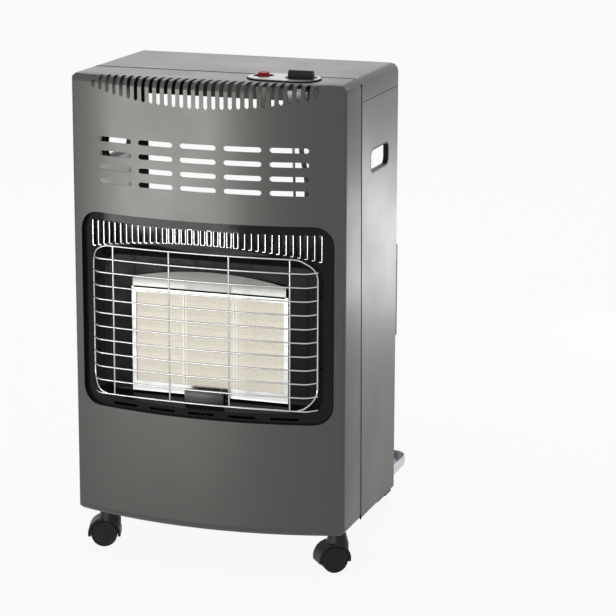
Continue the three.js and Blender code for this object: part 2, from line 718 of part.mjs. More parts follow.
function surroundInlets() {
  return Array.from({ length: INLET_COUNT }, (_, i) => {
    const x = (i - (INLET_COUNT - 1) / 2) * INLET_PITCH;
    return plateY(capsule(x, INLET_Z, INLET_LENGTH, INLET_HEIGHT, 2), -2 * BOW_DEPTH, BOW_DEPTH);
  });
}

function radiantSurround() {
  const front = plainDrum(SURROUND_SETBACK);
  const sheet = front
    .subtract(plainDrum(SURROUND_SETBACK + SHEET))
    .intersect(plateY(windowOutline(SURROUND_MARGIN), -2 * BOW_DEPTH, BOW_DEPTH));
  const farY = -2 * BOW_DEPTH;
  const hollow = loft([dishOutline(DISH_BACK_Y, 0), dishOutline(farY, 0)]);
  const skin = loft([dishOutline(DISH_BACK_Y + SHEET, SHEET), dishOutline(farY, SHEET)]).intersect(front);
  const opening = block(
    -FIELD_HALF - SKIRT_GROW - FIT,
    FIELD_HALF + SKIRT_GROW + FIT,
    DISH_BACK_Y - SHEET,
    DISH_BACK_Y + 2 * SHEET,
    PLAQUE_BOTTOM_Z - SKIRT_GROW - FIT,
    FIELD_TOP_Z + SKIRT_GROW + FIT,
  );
  const pilotHole = block(...PILOT_HOLE_X, -8, DISH_BACK_Y - SHEET, 0, DISH_BACK_BOTTOM + SHEET);
  const prongs = guardProngs(WIRE_RADIUS + 2 * FIT, 8);
  const holes = [pilotHole, ...prongs, ...surroundLouvres(), ...surroundInlets()];
  return cutAll(sheet.add(skin), [hollow, opening, ...holes]);
}

// The sheet over the burner: upright at its foot, then leaning back to the dish, with an arched top
function heatDeflector() {
  const low = PLAQUE_BOTTOM_Z + PLAQUE_HEIGHT + FRAME_HEAD + 2 * FIT;
  const crease = low + DEFLECTOR_RISE * 0.4;
  const high = low + DEFLECTOR_RISE;
  const y = PLAQUE_FACE_Y - 4;
  const back = DISH_BACK_Y - FIT;
  const profile = polygon([
    [y, low], [y + THIN_SHEET, low], [y + THIN_SHEET, crease],
    [back, high], [back - THIN_SHEET, high], [y, crease + FIT],
  ]);
  const endRise = DEFLECTOR_END_RISE;
  const rise = DEFLECTOR_RISE - endRise;
  const radius = (DEFLECTOR_HALF ** 2 + rise ** 2) / (2 * rise);
  const spread = THREE.MathUtils.radToDeg(Math.asin(DEFLECTOR_HALF / radius));
  const arch = [
    ...arc(0, high - radius, radius, 90 - spread, 90 + spread, 10),
    ...polygon([[-DEFLECTOR_HALF, low - FIT], [DEFLECTOR_HALF, low - FIT]]),
  ];
  return plateX(profile, -DEFLECTOR_HALF, DEFLECTOR_HALF).intersect(plateY(arch, y - SHEET, DISH_BACK_Y));
}

function fieldOutline(side, foot, head) {
  return polygon([
    [-FIELD_HALF - side, PLAQUE_BOTTOM_Z - foot],
    [FIELD_HALF + side, PLAQUE_BOTTOM_Z - foot],
    [FIELD_HALF + side, FIELD_TOP_Z + head],
    [-FIELD_HALF - side, FIELD_TOP_Z + head],
  ]);
}

function evenField(grow) {
  return fieldOutline(grow, grow, grow);
}

// A pressed box behind the plaques with a ledge that they rest on and a gas port in its back
function burnerHousing() {
  const front = PLAQUE_FACE_Y + FIT;
  const back = front + HOUSING_DEPTH;
  const ledge = PLAQUE_FACE_Y + PLAQUE_THICKNESS + FIT;
  const box = plateY(evenField(HOUSING_GROW), front, back, [evenField(FIT).reverse()]);
  const shelf = plateY(evenField(FIT + THIN_SHEET / 2), ledge, ledge + THIN_SHEET, [evenField(-4).reverse()]);
  const port = plateY(circle(mixerOutletX(), MIXER_Z, MIXER_THROAT, 16), back - 2 * THIN_SHEET, back + SHEET);
  const wall = plateY(evenField(HOUSING_GROW), back - THIN_SHEET, back);
  return union([box, shelf, wall]).subtract(port);
}

function burnerFrame() {
  const front = PLAQUE_FACE_Y - FIT - SHEET;
  const face = plateY(
    fieldOutline(FRAME_SIDE, FRAME_FOOT, FRAME_HEAD),
    front,
    front + SHEET,
    [evenField(-FRAME_GRIP).reverse()],
  );
  const inner = evenField(HOUSING_GROW + FIT).reverse();
  const skirt = plateY(evenField(SKIRT_GROW), front + SHEET / 2, DISH_BACK_Y + SHEET + LAP, [inner]);
  return face.add(skirt);
}

function plaque(index) {
  const x0 = -FIELD_HALF + index * (PLAQUE_WIDTH + PLAQUE_GAP);
  const x1 = x0 + PLAQUE_WIDTH;
  const back = PLAQUE_FACE_Y + PLAQUE_THICKNESS;
  return block(x0, x1, PLAQUE_FACE_Y, back, PLAQUE_BOTTOM_Z, FIELD_TOP_Z);
}

function mixerOutletX() {
  return MIXER_MOUTH_X - MIXER_LENGTH + MIXER_RADIUS;
}

// The mixing tube: a bell mouth, a throat and a widening run, ending in a saddle on the housing's back
function mixingTube() {
  const wall = THIN_SHEET;
  const half = MIXER_LENGTH;
  const outside = [
    [0, 0],
    [MIXER_RADIUS, 0],
    [MIXER_RADIUS, half * 0.35],
    [MIXER_THROAT + wall, half * 0.8],
    [MIXER_RADIUS + 2 * wall, half],
  ];
  const bore = outside
    .slice(1)
    .reverse()
    .map(([radius, along], i) => [radius - wall, i === outside.length - 2 ? wall : along]);
  const profile = [...outside, ...bore, [0, wall]];
  const back = PLAQUE_FACE_Y + FIT + HOUSING_DEPTH + FIT;
  const lathe = new THREE.LatheGeometry(polygon(profile), 16).rotateZ(-Math.PI / 2);
  const tube = solid(lathe.translate(MIXER_MOUTH_X - MIXER_LENGTH, MIXER_Y, MIXER_Z));
  const x = mixerOutletX();
  const reach = MIXER_THROAT + SHEET;
  const saddle = block(x - reach, x + reach, back, MIXER_Y, MIXER_Z - reach, MIXER_Z + reach);
  const port = plateY(circle(x, MIXER_Z, MIXER_THROAT, 16), back - SHEET, MIXER_Y);
  const hollow = tubeBore(profile);
  return tube.add(saddle.subtract(hollow)).subtract(port);
}

function tubeBore(profile) {
  const closed = profile.slice(5, -1);
  const pairs = [[0, MIXER_LENGTH], ...closed, [0, THIN_SHEET]].reverse();
  const lathe = new THREE.LatheGeometry(polygon(pairs), 16).rotateZ(-Math.PI / 2);
  return solid(lathe.translate(MIXER_MOUTH_X - MIXER_LENGTH, MIXER_Y, MIXER_Z));
}

// Wire guard
function guardY(x) {
  const depth = BOW_DEPTH + GUARD_PROUD;
  const reach = Math.abs(x);
  if (reach <= GUARD_BEND_X) {
    return -depth + GUARD_SAGITTA * (reach / GUARD_BEND_X) ** 2;
  }
  const share = (reach - GUARD_BEND_X) / (GUARD_SIDE_X - GUARD_BEND_X);
  const bendY = GUARD_SAGITTA - depth;
  return bendY + (GUARD_SIDE_Y - bendY) * share;
}

function guardRow(z, reach) {
  const steps = 6;
  const half = Math.min(reach, GUARD_BEND_X);
  const xs = Array.from({ length: steps + 1 }, (_, i) => ((2 * i) / steps - 1) * half);
  const all = reach > half ? [-reach, ...xs, reach] : xs;
  return wire(all.map((x) => new THREE.Vector3(x, guardY(x), z)), WIRE_RADIUS);
}

function guardUpright(x) {
  const y = guardY(x) + 1.4 * WIRE_RADIUS;
  const foot = new THREE.Vector3(x, y, GUARD_BOTTOM_Z - WIRE_RADIUS / 2);
  return wire([foot, new THREE.Vector3(x, y, GUARD_TOP_Z + WIRE_RADIUS / 2)], WIRE_RADIUS, 4);
}

// A side wire with both ends curved in to the top and bottom rows
function guardSide() {
  const bend = GUARD_SIDE_X - GUARD_TOP_ROW_X;
  const corner = (centreZ, fromDeg, toDeg) =>
    arc(GUARD_SIDE_X - bend, centreZ, bend, fromDeg, toDeg, 4).map(
      (p) => new THREE.Vector3(p.x, guardY(p.x), p.y),
    );
  const low = corner(GUARD_BOTTOM_Z + bend, -75, 0);
  const high = corner(GUARD_TOP_Z - bend, 0, 88);
  return wire([...low, ...high], WIRE_RADIUS);
}

function guardProngZs() {
  const inset = GUARD_SIDE_X - GUARD_TOP_ROW_X + GUARD_PRONG_INSET;
  return [GUARD_BOTTOM_Z + inset, GUARD_TOP_Z - inset];
}

// The four prongs that fix the guard through the dish's sides
function guardProngs(radius, sides) {
  const end = DISH_BACK_Y - 2;
  return [-GUARD_SIDE_X, GUARD_SIDE_X].flatMap((x) =>
    guardProngZs().map((z) => plateY(circle(x, z, radius, sides), GUARD_SIDE_Y, end)),
  );
}

function guardGrille() {
  const rows = Array.from({ length: GUARD_ROWS }, (_, i) =>
    guardRow(GUARD_TOP_Z - i * GUARD_PITCH, i === 0 ? GUARD_TOP_ROW_X : GUARD_SIDE_X),
  );
  const uprights = GUARD_UPRIGHTS_X.flatMap((x) => [guardUpright(-x), guardUpright(x)]);
  const side = guardSide();
  return union([...rows, ...uprights, side, mirrored(side), ...guardProngs(WIRE_RADIUS, WIRE_SIDES)]);
}

// Controls
function controlOutline(grow) {
  return capsule(PLATE_X, PLATE_Y, PLATE_LENGTH + 2 * grow, PLATE_WIDTH + 2 * grow, 8);
}

function controlPlate() {
  const wells = [
    circle(KNOB_X, KNOB_Y, KNOB_RADIUS + 1, 24).reverse(),
    circle(IGNITER_X, IGNITER_Y, IGNITER_WELL_RADIUS, 20).reverse(),
  ];
  return plateZ(controlOutline(0), PLATE_BOTTOM_Z, PLATE_TOP_Z, wells);
}

// The moulding under the plate: two wells, clamped to the casing by a flange below the sheet
function controlInsert() {
  const under = CASE_TOP - SHEET - FIT;
  const body = plateZ(controlOutline(-INSERT_MARGIN), INSERT_BOTTOM_Z, CASE_TOP);
  const flange = plateZ(controlOutline(INSERT_FLANGE - INSERT_MARGIN), INSERT_BOTTOM_Z, under);
  const cuts = [
    upright(KNOB_X, KNOB_Y, KNOB_RADIUS + 1, WELL_FLOOR_Z, PLATE_TOP_Z, 24),
    upright(IGNITER_X, IGNITER_Y, IGNITER_WELL_RADIUS, WELL_FLOOR_Z, PLATE_TOP_Z, 20),
    upright(KNOB_X, KNOB_Y, SPINDLE_RADIUS + 1, 0, CASE_TOP, 12),
    upright(IGNITER_X, IGNITER_Y, BUTTON_RADIUS + 0.7, 0, CASE_TOP, 16),
  ];
  return cutAll(body.add(flange), cuts);
}

function knobSkirtZ() {
  return WELL_FLOOR_Z + KNOB_TRAVEL + 2 * FIT;
}

function controlKnob() {
  const low = knobSkirtZ();
  const mid = low + KNOB_SKIRT;
  const rim = [[KNOB_RADIUS, low], [KNOB_RADIUS, mid - 1], [KNOB_RADIUS - 2, mid]];
  const skirt = turned([[0, low], ...rim, [0, mid]], 24);
  const grip = (z, shrink) => {
    const x = KNOB_GRIP_LENGTH / 2 - shrink;
    const y = KNOB_GRIP_WIDTH / 2 - shrink;
    return roundedBox(-x, x, -y, y, 2, 2).map((p) => new THREE.Vector3(p.x, p.y, z));
  };
  const top = mid + KNOB_GRIP_HEIGHT;
  const bar = loft([grip(mid - SHEET, 0), grip(top - 1, 0.5), grip(top, 1.5)]);
  const bore = upright(0, 0, SPINDLE_RADIUS + FIT, 0, spindleTopZ() + FIT, 12);
  return skirt.add(bar).subtract(bore).translate([KNOB_X, KNOB_Y, 0]);
}

function spindleTopZ() {
  return knobSkirtZ() + KNOB_SKIRT + KNOB_GRIP_HEIGHT / 2;
}

function rotorFloorZ() {
  return VALVE_BOTTOM_Z + VALVE_HEIGHT * 0.35;
}

function valveSpindle() {
  const low = rotorFloorZ() + THIN_SHEET + KNOB_TRAVEL + 2 * FIT;
  const shaft = upright(KNOB_X, KNOB_Y, SPINDLE_RADIUS, low, spindleTopZ(), 12);
  return shaft;
}

function valveRotor() {
  const low = rotorFloorZ() + FIT;
  const high = VALVE_TOP_Z - 6;
  const plug = upright(KNOB_X, KNOB_Y, ROTOR_RADIUS, low, high, 20);
  return plug.subtract(upright(KNOB_X, KNOB_Y, SPINDLE_RADIUS + FIT, low + THIN_SHEET, VALVE_TOP_Z, 12));
}

// The valve body: a die-cast block with a bonnet, a rear inlet boss and a bottom outlet boss
function valveBody() {
  const half = VALVE_WIDTH / 2;
  const shoulder = VALVE_TOP_Z - 5;
  const outline = roundedBox(KNOB_X - half, KNOB_X + half, KNOB_Y - half, KNOB_Y + half, 4, 2);
  const body = plateZ(outline, VALVE_BOTTOM_Z + 8, shoulder);
  const bonnet = upright(KNOB_X, KNOB_Y, half - 3, shoulder - SHEET, VALVE_TOP_Z, 20);
  const outlet = upright(KNOB_X, KNOB_Y, 7, VALVE_BOTTOM_Z, VALVE_BOTTOM_Z + 9, 12);
  const inlet = plateY(circle(KNOB_X, inletZ(), 7, 12), KNOB_Y + half - SHEET, KNOB_Y + half + 6);
  const bore = upright(KNOB_X, KNOB_Y, ROTOR_RADIUS + FIT, rotorFloorZ(), VALVE_TOP_Z, 20);
  return cutAll(union([body, bonnet, outlet, inlet]), [bore]);
}

function inletZ() {
  return VALVE_BOTTOM_Z + VALVE_HEIGHT / 2;
}

// The hose tail: ribbed nozzle on the valve's inlet, turned down towards the bottle bay
function hoseInlet() {
  const length = 30;
  const profile = [[0, 0], [9, 0], [9, 8], [5, 8]];
  for (let rib = 0; rib < 4; rib += 1) {
    const along = 8 + rib * 5;
    profile.push([5, along + 1], [6, along + 1.5], [4.6, along + 5]);
  }
  profile.push([4, length], [0, length]);
  const lathe = new THREE.LatheGeometry(polygon(profile), 12);
  return solid(lathe.translate(KNOB_X, KNOB_Y + VALVE_WIDTH / 2 + 6 + FIT, inletZ()));
}

function igniterBody() {
  const top = INSERT_BOTTOM_Z - FIT;
  const low = top - IGNITER_LENGTH;
  const body = [
    upright(0, 0, IGNITER_RADIUS, low, top, 20),
    upright(0, 0, IGNITER_RADIUS + 3, top - 3, top, 20),
    upright(0, 0, IGNITER_RADIUS - 5, low - 6, low + SHEET, 12),
  ];
  const bores = [
    upright(0, 0, BUTTON_RADIUS + 0.5, top - BUTTON_TRAVEL - FIT, top + SHEET, 16),
    upright(0, 0, buttonStemRadius() + FIT, buttonStemZ() - BUTTON_TRAVEL - 1, top, 16),
  ];
  return cutAll(union(body), bores).translate([IGNITER_X, IGNITER_Y, 0]);
}

function buttonStemRadius() {
  return BUTTON_RADIUS - 2.3;
}

function buttonStemZ() {
  return INSERT_BOTTOM_Z - 22;
}

function igniterButton() {
  const top = PLATE_TOP_Z + BUTTON_PROUD;
  const cap = WELL_FLOOR_Z + 1;
  const stem = buttonStemRadius();
  const profile = [
    [0, buttonStemZ()],
    [stem, buttonStemZ()],
    [stem, cap],
    [BUTTON_RADIUS, cap],
    [BUTTON_RADIUS, top - 1.5],
    [BUTTON_RADIUS - 1.5, top],
    [0, top],
  ];
  return turned(profile, 16, IGNITER_X, IGNITER_Y);
}

// Pilot group under the burner

function pilotBracket() {
  const back = PLAQUE_FACE_Y - SHEET - 2 * FIT;
  const x0 = PILOT_HOLE_X[0] + 3;
  const x1 = PILOT_HOLE_X[1] - 3;
  const plate = block(x0, x1, back - THIN_SHEET, back, PILOT_SHELF_Z, PLAQUE_BOTTOM_Z - 4);
  const shelf = block(x0, x1, PILOT_Y - 6, back, PILOT_SHELF_Z, PILOT_SHELF_Z + THIN_SHEET);
  const holes = [
    upright(PILOT_X, PILOT_Y, 4 + FIT, 0, PILOT_TIP_Z, 12),
    upright(THERMOCOUPLE_X, PILOT_Y, 2.5 + FIT, 0, PILOT_TIP_Z, 12),
    upright(ELECTRODE_X, PILOT_Y, 3 + FIT, 0, PILOT_TIP_Z, 12),
  ];
  return cutAll(plate.add(shelf), holes);
}

function pilotBurner() {
  const low = PILOT_SHELF_Z - 12;
  const side = [[4, low], [4, PILOT_TIP_Z - 3], [3, PILOT_TIP_Z]];
  return turned([[0, low], ...side, [0, PILOT_TIP_Z]], 12, PILOT_X, PILOT_Y);
}

function thermocouple() {
  const low = PILOT_SHELF_Z - 14;
  const tip = PILOT_TIP_Z + 4;
  const side = [[2.5, low], [2.5, tip - 8], [1.6, tip - 6], [1.6, tip]];
  return turned([[0, low], ...side, [0, tip]], 12, THERMOCOUPLE_X, PILOT_Y);
}

function sparkElectrode() {
  const low = PILOT_SHELF_Z - 10;
  const tip = PILOT_TIP_Z + 3;
  const side = [[3, low], [3, tip - 7], [1, tip - 6], [1, tip]];
  return turned([[0, low], ...side, [0, tip]], 12, ELECTRODE_X, PILOT_Y);
}

function gasPipe() {
  const drop = KNOB_X;
  return bentTube(
    [
      [drop, KNOB_Y, VALVE_BOTTOM_Z - FIT],
      [drop, KNOB_Y, VALVE_BOTTOM_Z - 40],
      [drop, MIXER_Y, VALVE_BOTTOM_Z - 90],
      [drop, MIXER_Y, MIXER_Z],
      [MIXER_MOUTH_X + 2, MIXER_Y, MIXER_Z],
    ],
    PIPE_RADIUS,
    12,
  );
}

function pilotPipe() {
  const side = KNOB_X - VALVE_WIDTH / 2 - FIT;
  const drop = side - PILOT_PIPE_OFFSET;
  const run = MIXER_MOUTH_X + 20;
  const lane = MIXER_Y + 12;
  const low = PILOT_SHELF_Z - 26;
  return bentTube(
    [
      [side, KNOB_Y, inletZ()],
      [drop, KNOB_Y, inletZ()],
      [drop, lane, inletZ() - 30],
      [run, lane, MIXER_Z + 60],
      [run, lane, low],
      [PILOT_X, lane, low],
      [PILOT_X, PILOT_Y, low],
      [PILOT_X, PILOT_Y, PILOT_SHELF_Z - 12 - FIT],
    ],
    PILOT_PIPE_RADIUS,
    8,
    6,
  );
}

function ignitionLead() {
  const low = PILOT_SHELF_Z - 34;
  const lane = SHIELD_Y - 4;
  const run = FIELD_HALF + 34;
  const start = INSERT_BOTTOM_Z - FIT - IGNITER_LENGTH - 6 - FIT;
  return bentTube(
    [
      [IGNITER_X, IGNITER_Y, start],
      [IGNITER_X, IGNITER_Y, start - 24],
      [IGNITER_X, lane, start - 44],
      [run, lane, start - 44],
      [run, lane, low],
      [ELECTRODE_X, lane, low],
      [ELECTRODE_X, PILOT_Y, low],
      [ELECTRODE_X, PILOT_Y, PILOT_SHELF_Z - 10 - FIT],
    ],
    LEAD_RADIUS,
    10,
    6,
  );
}

// Castors: local X is the axle, and the wheels trail behind the swivel along -Y
function castorHood() {
  const inner = HOOD_RADIUS - HOOD_WALL;
  const tip = HOOD_DROP_DEG;
  const disc = arc(-TRAIL, AXLE_Z, HOOD_RADIUS, -tip, 180 + tip, 12);
  const neck = turned(
    [
      [0, AXLE_Z],
      [NECK_RADIUS, AXLE_Z],
      [NECK_RADIUS, AXLE_Z + HOOD_RADIUS - 3],
      [COLLAR_RADIUS + 2, HOOD_TOP_Z],
      [0, HOOD_TOP_Z],
    ],
    16,
  );
  const halfWeb = WEB_THICKNESS / 2;
  const wheelSpace = (x0, x1) => plateX(circle(-TRAIL, AXLE_Z, inner, 20), x0, x1);
  const cuts = [
    wheelSpace(-HOOD_WIDTH, -halfWeb),
    wheelSpace(halfWeb, HOOD_WIDTH),
    plateX(circle(-TRAIL, AXLE_Z, AXLE_RADIUS + FIT, 8), -WEB_THICKNESS, WEB_THICKNESS),
    upright(0, 0, STEM_RADIUS + FIT, stemFootZ() - FIT, HOOD_TOP_Z + FIT, 10),
  ];
  return cutAll(plateX(disc, -HOOD_WIDTH / 2, HOOD_WIDTH / 2).add(neck), cuts);
}

function stemFootZ() {
  return AXLE_Z + HOOD_RADIUS - 4;
}

function castorStem() {
  return upright(0, 0, STEM_RADIUS, stemFootZ(), TRAY_Z - FIT, 10);
}

function castorAxle() {
  const reach = WHEEL_INNER_X + WHEEL_WIDTH * 0.7;
  return plateX(circle(-TRAIL, AXLE_Z, AXLE_RADIUS, 8), -reach, reach);
}

// The wheel on the +X side: a plain outer face, a chamfered tread and a blind bore for the axle
function castorWheel() {
  const w = WHEEL_WIDTH;
  const boreDepth = w * 0.7 + FIT;
  const bore = AXLE_RADIUS + FIT;
  const r = WHEEL_RADIUS;
  const profile = [
    [0, boreDepth],
    [bore, boreDepth],
    [bore, 0],
    [r - 1.2, 0],
    [r, 1.2],
    [r, w - 2],
    [r - 2.5, w],
    [0, w],
  ];
  const lathe = new THREE.LatheGeometry(polygon(profile), WHEEL_SIDES);
  lathe.rotateY(Math.PI / WHEEL_SIDES).rotateZ(-Math.PI / 2);
  return solid(lathe.translate(WHEEL_INNER_X, -TRAIL, AXLE_Z));
}

// Finishes
const FINISHES = {
  greyPaint: { color: 0x85878b, roughness: 0.42, metalness: 0.55 },
  galvanised: { color: 0xb4b8ba, roughness: 0.45, metalness: 0.8 },
  blackEnamel: { color: 0x0d0d0e, roughness: 0.15, metalness: 0.1 },
  blackPlastic: { color: 0x202124, roughness: 0.55, metalness: 0 },
  chrome: { color: 0xd9dadc, roughness: 0.12, metalness: 1 },
  brightSteel: { color: 0xc4c6c6, roughness: 0.25, metalness: 0.95 },
  ceramic: { color: 0xe6dcc6, roughness: 0.85, metalness: 0 },
  white: { color: 0xeeece6, roughness: 0.5, metalness: 0 },
  aluminium: { color: 0xb9bcc0, roughness: 0.5, metalness: 0.85 },
  brass: { color: 0xc09a45, roughness: 0.35, metalness: 0.95 },
  copper: { color: 0xb87250, roughness: 0.35, metalness: 0.95 },
  red: { color: 0xb3202a, roughness: 0.35, metalness: 0 },
};

const heater = new THREE.Group();

function add(name, body, finish, parent = heater) {
  const source = body.getMesh();
  const geometry = new THREE.BufferGeometry();
  geometry.setAttribute("position", new THREE.Float32BufferAttribute(source.vertProperties, 3));
  geometry.setIndex(Array.from(source.triVerts));
  geometry.computeVertexNormals();
  const mesh = new THREE.Mesh(geometry, new THREE.MeshStandardMaterial(FINISHES[finish]));
  mesh.name = name;
  parent.add(mesh);
}

function addBothSides(name, body, finish) {
  add(`${name}_right`, body, finish);
  add(`${name}_left`, mirrored(body), finish);
}

function addCastor({ name, inset, side, y, yawDeg }) {
  const castor = new THREE.Group();
  castor.position.set(castorX({ inset, side }), y, 0);
  castor.rotation.z = rad(yawDeg);
  heater.add(castor);
  add(`castor_${name}_hood`, castorHood(), "blackPlastic", castor);
  add(`castor_${name}_stem`, castorStem(), "brightSteel", castor);
  add(`castor_${name}_axle`, castorAxle(), "brightSteel", castor);
  add(`castor_${name}_wheel_outer`, castorWheel(), "blackPlastic", castor);
  add(`castor_${name}_wheel_inner`, mirrored(castorWheel()), "blackPlastic", castor);
}

const shell = envelope(0).subtract(envelope(SHEET));
add("front_casing", frontCasing(shell), "greyPaint");
add("top_cover", topCover(shell), "greyPaint");
addBothSides("side_panel", sidePanel(), "greyPaint");
addBothSides("hand_grip", handGrip(), "blackPlastic");
addBothSides("cover_bracket", coverBracket(), "blackPlastic");
add("base_tray", baseTray(), "galvanised");
add("heat_shield", heatShield(), "galvanised");
add("radiant_surround", radiantSurround(), "blackEnamel");
add("heat_deflector", heatDeflector(), "brightSteel");
add("guard_grille", guardGrille(), "chrome");
add("burner_housing", burnerHousing(), "galvanised");
add("burner_frame", burnerFrame(), "brightSteel");
["plaque_left", "plaque_centre", "plaque_right"].forEach((name, i) => add(name, plaque(i), "ceramic"));
add("mixing_tube", mixingTube(), "galvanised");
add("gas_pipe", gasPipe(), "brass");
add("pilot_pipe", pilotPipe(), "aluminium");
add("ignition_lead", ignitionLead(), "red");
add("pilot_bracket", pilotBracket(), "brightSteel");
add("pilot_burner", pilotBurner(), "brass");
add("thermocouple", thermocouple(), "copper");
add("spark_electrode", sparkElectrode(), "white");
add("valve_body", valveBody(), "aluminium");
add("valve_rotor", valveRotor(), "brass");
add("valve_spindle", valveSpindle(), "brass");
add("hose_inlet", hoseInlet(), "brass");
add("control_plate", controlPlate(), "chrome");
add("control_insert", controlInsert(), "blackPlastic");
add("control_knob", controlKnob(), "blackPlastic");
add("igniter_body", igniterBody(), "white");
add("igniter_button", igniterButton(), "red");
CASTORS.forEach(addCastor);

// Centre the assembly over the origin, standing on the floor
const bounds = new THREE.Box3().setFromObject(heater);
const centre = bounds.getCenter(new THREE.Vector3());
heater.position.set(-centre.x, -centre.y, -bounds.min.z);

const model = new THREE.Group();
model.add(heater);

export default model;
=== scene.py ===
"""The look of a portable gas cabinet heater, built over its CAD frame.

Every finish is a node material, and the pieces that need rounder shapes than the solids have are modelled
here: the guard's wires, the knob, the button, the wheels, the louvre lips in bright metal as painted
highlights, the dark strips of painted shade in the gaps, and the fixings.
"""

import json
import math

import bpy
from mathutils import Matrix, Vector


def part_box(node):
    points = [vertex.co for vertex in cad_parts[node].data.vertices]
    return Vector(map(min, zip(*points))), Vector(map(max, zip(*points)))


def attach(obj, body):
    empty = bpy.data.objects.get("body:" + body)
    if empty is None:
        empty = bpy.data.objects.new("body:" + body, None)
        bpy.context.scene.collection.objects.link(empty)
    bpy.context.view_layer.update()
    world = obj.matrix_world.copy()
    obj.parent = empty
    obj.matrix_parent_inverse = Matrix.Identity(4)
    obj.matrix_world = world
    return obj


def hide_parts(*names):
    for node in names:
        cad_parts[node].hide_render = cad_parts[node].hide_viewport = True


bl_info = {
    "name": "Cabinet Heater",
    "version": (1, 0, 0),
    "blender": (4, 5, 0),
    "location": "3D View > Sidebar > Heater",
    "description": "Dresses the CAD frame of a portable gas cabinet heater",
    "category": "Object",
}

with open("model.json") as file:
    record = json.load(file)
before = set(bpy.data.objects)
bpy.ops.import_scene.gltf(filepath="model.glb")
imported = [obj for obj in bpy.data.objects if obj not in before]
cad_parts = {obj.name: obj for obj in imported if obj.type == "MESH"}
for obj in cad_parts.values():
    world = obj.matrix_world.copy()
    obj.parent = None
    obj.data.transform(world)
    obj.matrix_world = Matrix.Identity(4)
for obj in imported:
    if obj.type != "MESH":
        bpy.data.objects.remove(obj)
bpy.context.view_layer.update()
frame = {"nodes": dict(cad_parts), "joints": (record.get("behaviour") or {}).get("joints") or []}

# The heater's own origin in the frame: the middle of its width, level with the casing's front corners
CASING_LOW, CASING_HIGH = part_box("front_casing")
COVER_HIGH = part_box("top_cover")[1]
ORIGIN = Vector(((CASING_LOW.x + CASING_HIGH.x) / 2, COVER_HIGH.y - 0.250, 0))
MM = 0.001

# The bowed front's radius, and how far its centre lies behind the origin, in millimetres
BOW_RADIUS = 614.4
BOW_CENTRE = 577.4
CASTORS = ("front_left", "front_right", "rear_left", "rear_right")


def at(x, y, z):
    """A point given in millimetres from the heater's own origin, in the frame."""
    return ORIGIN + Vector((x, y, z)) * MM


# Settings


class HeaterSettings(bpy.types.PropertyGroup):
    """Sizes and colours a user would change."""

    paint_colour: bpy.props.FloatVectorProperty(
        name="Casing paint",
        description="Colour of the powder-coated sheets",
        subtype="COLOR",
        default=(0.072, 0.073, 0.068),
        min=0,
        max=1,
    )
    plaque_colour: bpy.props.FloatVectorProperty(
        name="Plaques",
        description="Colour of the burner's ceramic",
        subtype="COLOR",
        default=(0.93, 0.87, 0.74),
        min=0,
        max=1,
    )
    button_colour: bpy.props.FloatVectorProperty(
        name="Igniter button",
        description="Colour of the push button",
        subtype="COLOR",
        default=(0.3, 0.012, 0.018),
        min=0,
        max=1,
    )
    plaque_pitch: bpy.props.FloatProperty(
        name="Plaque hole pitch",
        description="Distance between the burner ceramic's holes",
        unit="LENGTH",
        default=0.0024,
        min=0.001,
        max=0.01,
    )
    wire_radius: bpy.props.FloatProperty(
        name="Guard wire radius",
        description="Radius of the guard's wires",
        unit="LENGTH",
        default=0.0012,
        min=0.0005,
        max=0.003,
    )


def settings():
    return bpy.context.scene.heater_settings


# Materials


class Value:
    """A shader socket that takes part in Python arithmetic."""

    def __init__(self, finish, socket):
        self.finish = finish
        self.socket = socket

    def math(self, operation, first, second=0.0):
        return self.finish.node("ShaderNodeMath", {"operation": operation}, {0: first, 1: second})

    def __add__(self, other):
        return self.math("ADD", self, other)

    def __mul__(self, other):
        return self.math("MULTIPLY", self, other)

    def __sub__(self, other):
        return self.math("SUBTRACT", self, other)

    def __rsub__(self, other):
        return self.math("SUBTRACT", other, self)

    def __gt__(self, other):
        return self.math("GREATER_THAN", self, other)

    def __lt__(self, other):
        return self.math("LESS_THAN", self, other)

    def __abs__(self):
        return self.math("ABSOLUTE", self)

    __radd__ = __add__
    __rmul__ = __mul__

    def wrapped(self, period):
        """Distance from the middle of each repeat, from -period / 2 to period / 2."""
        shifted = self.math("FLOORED_MODULO", self + period / 2, period)
        return shifted - period / 2


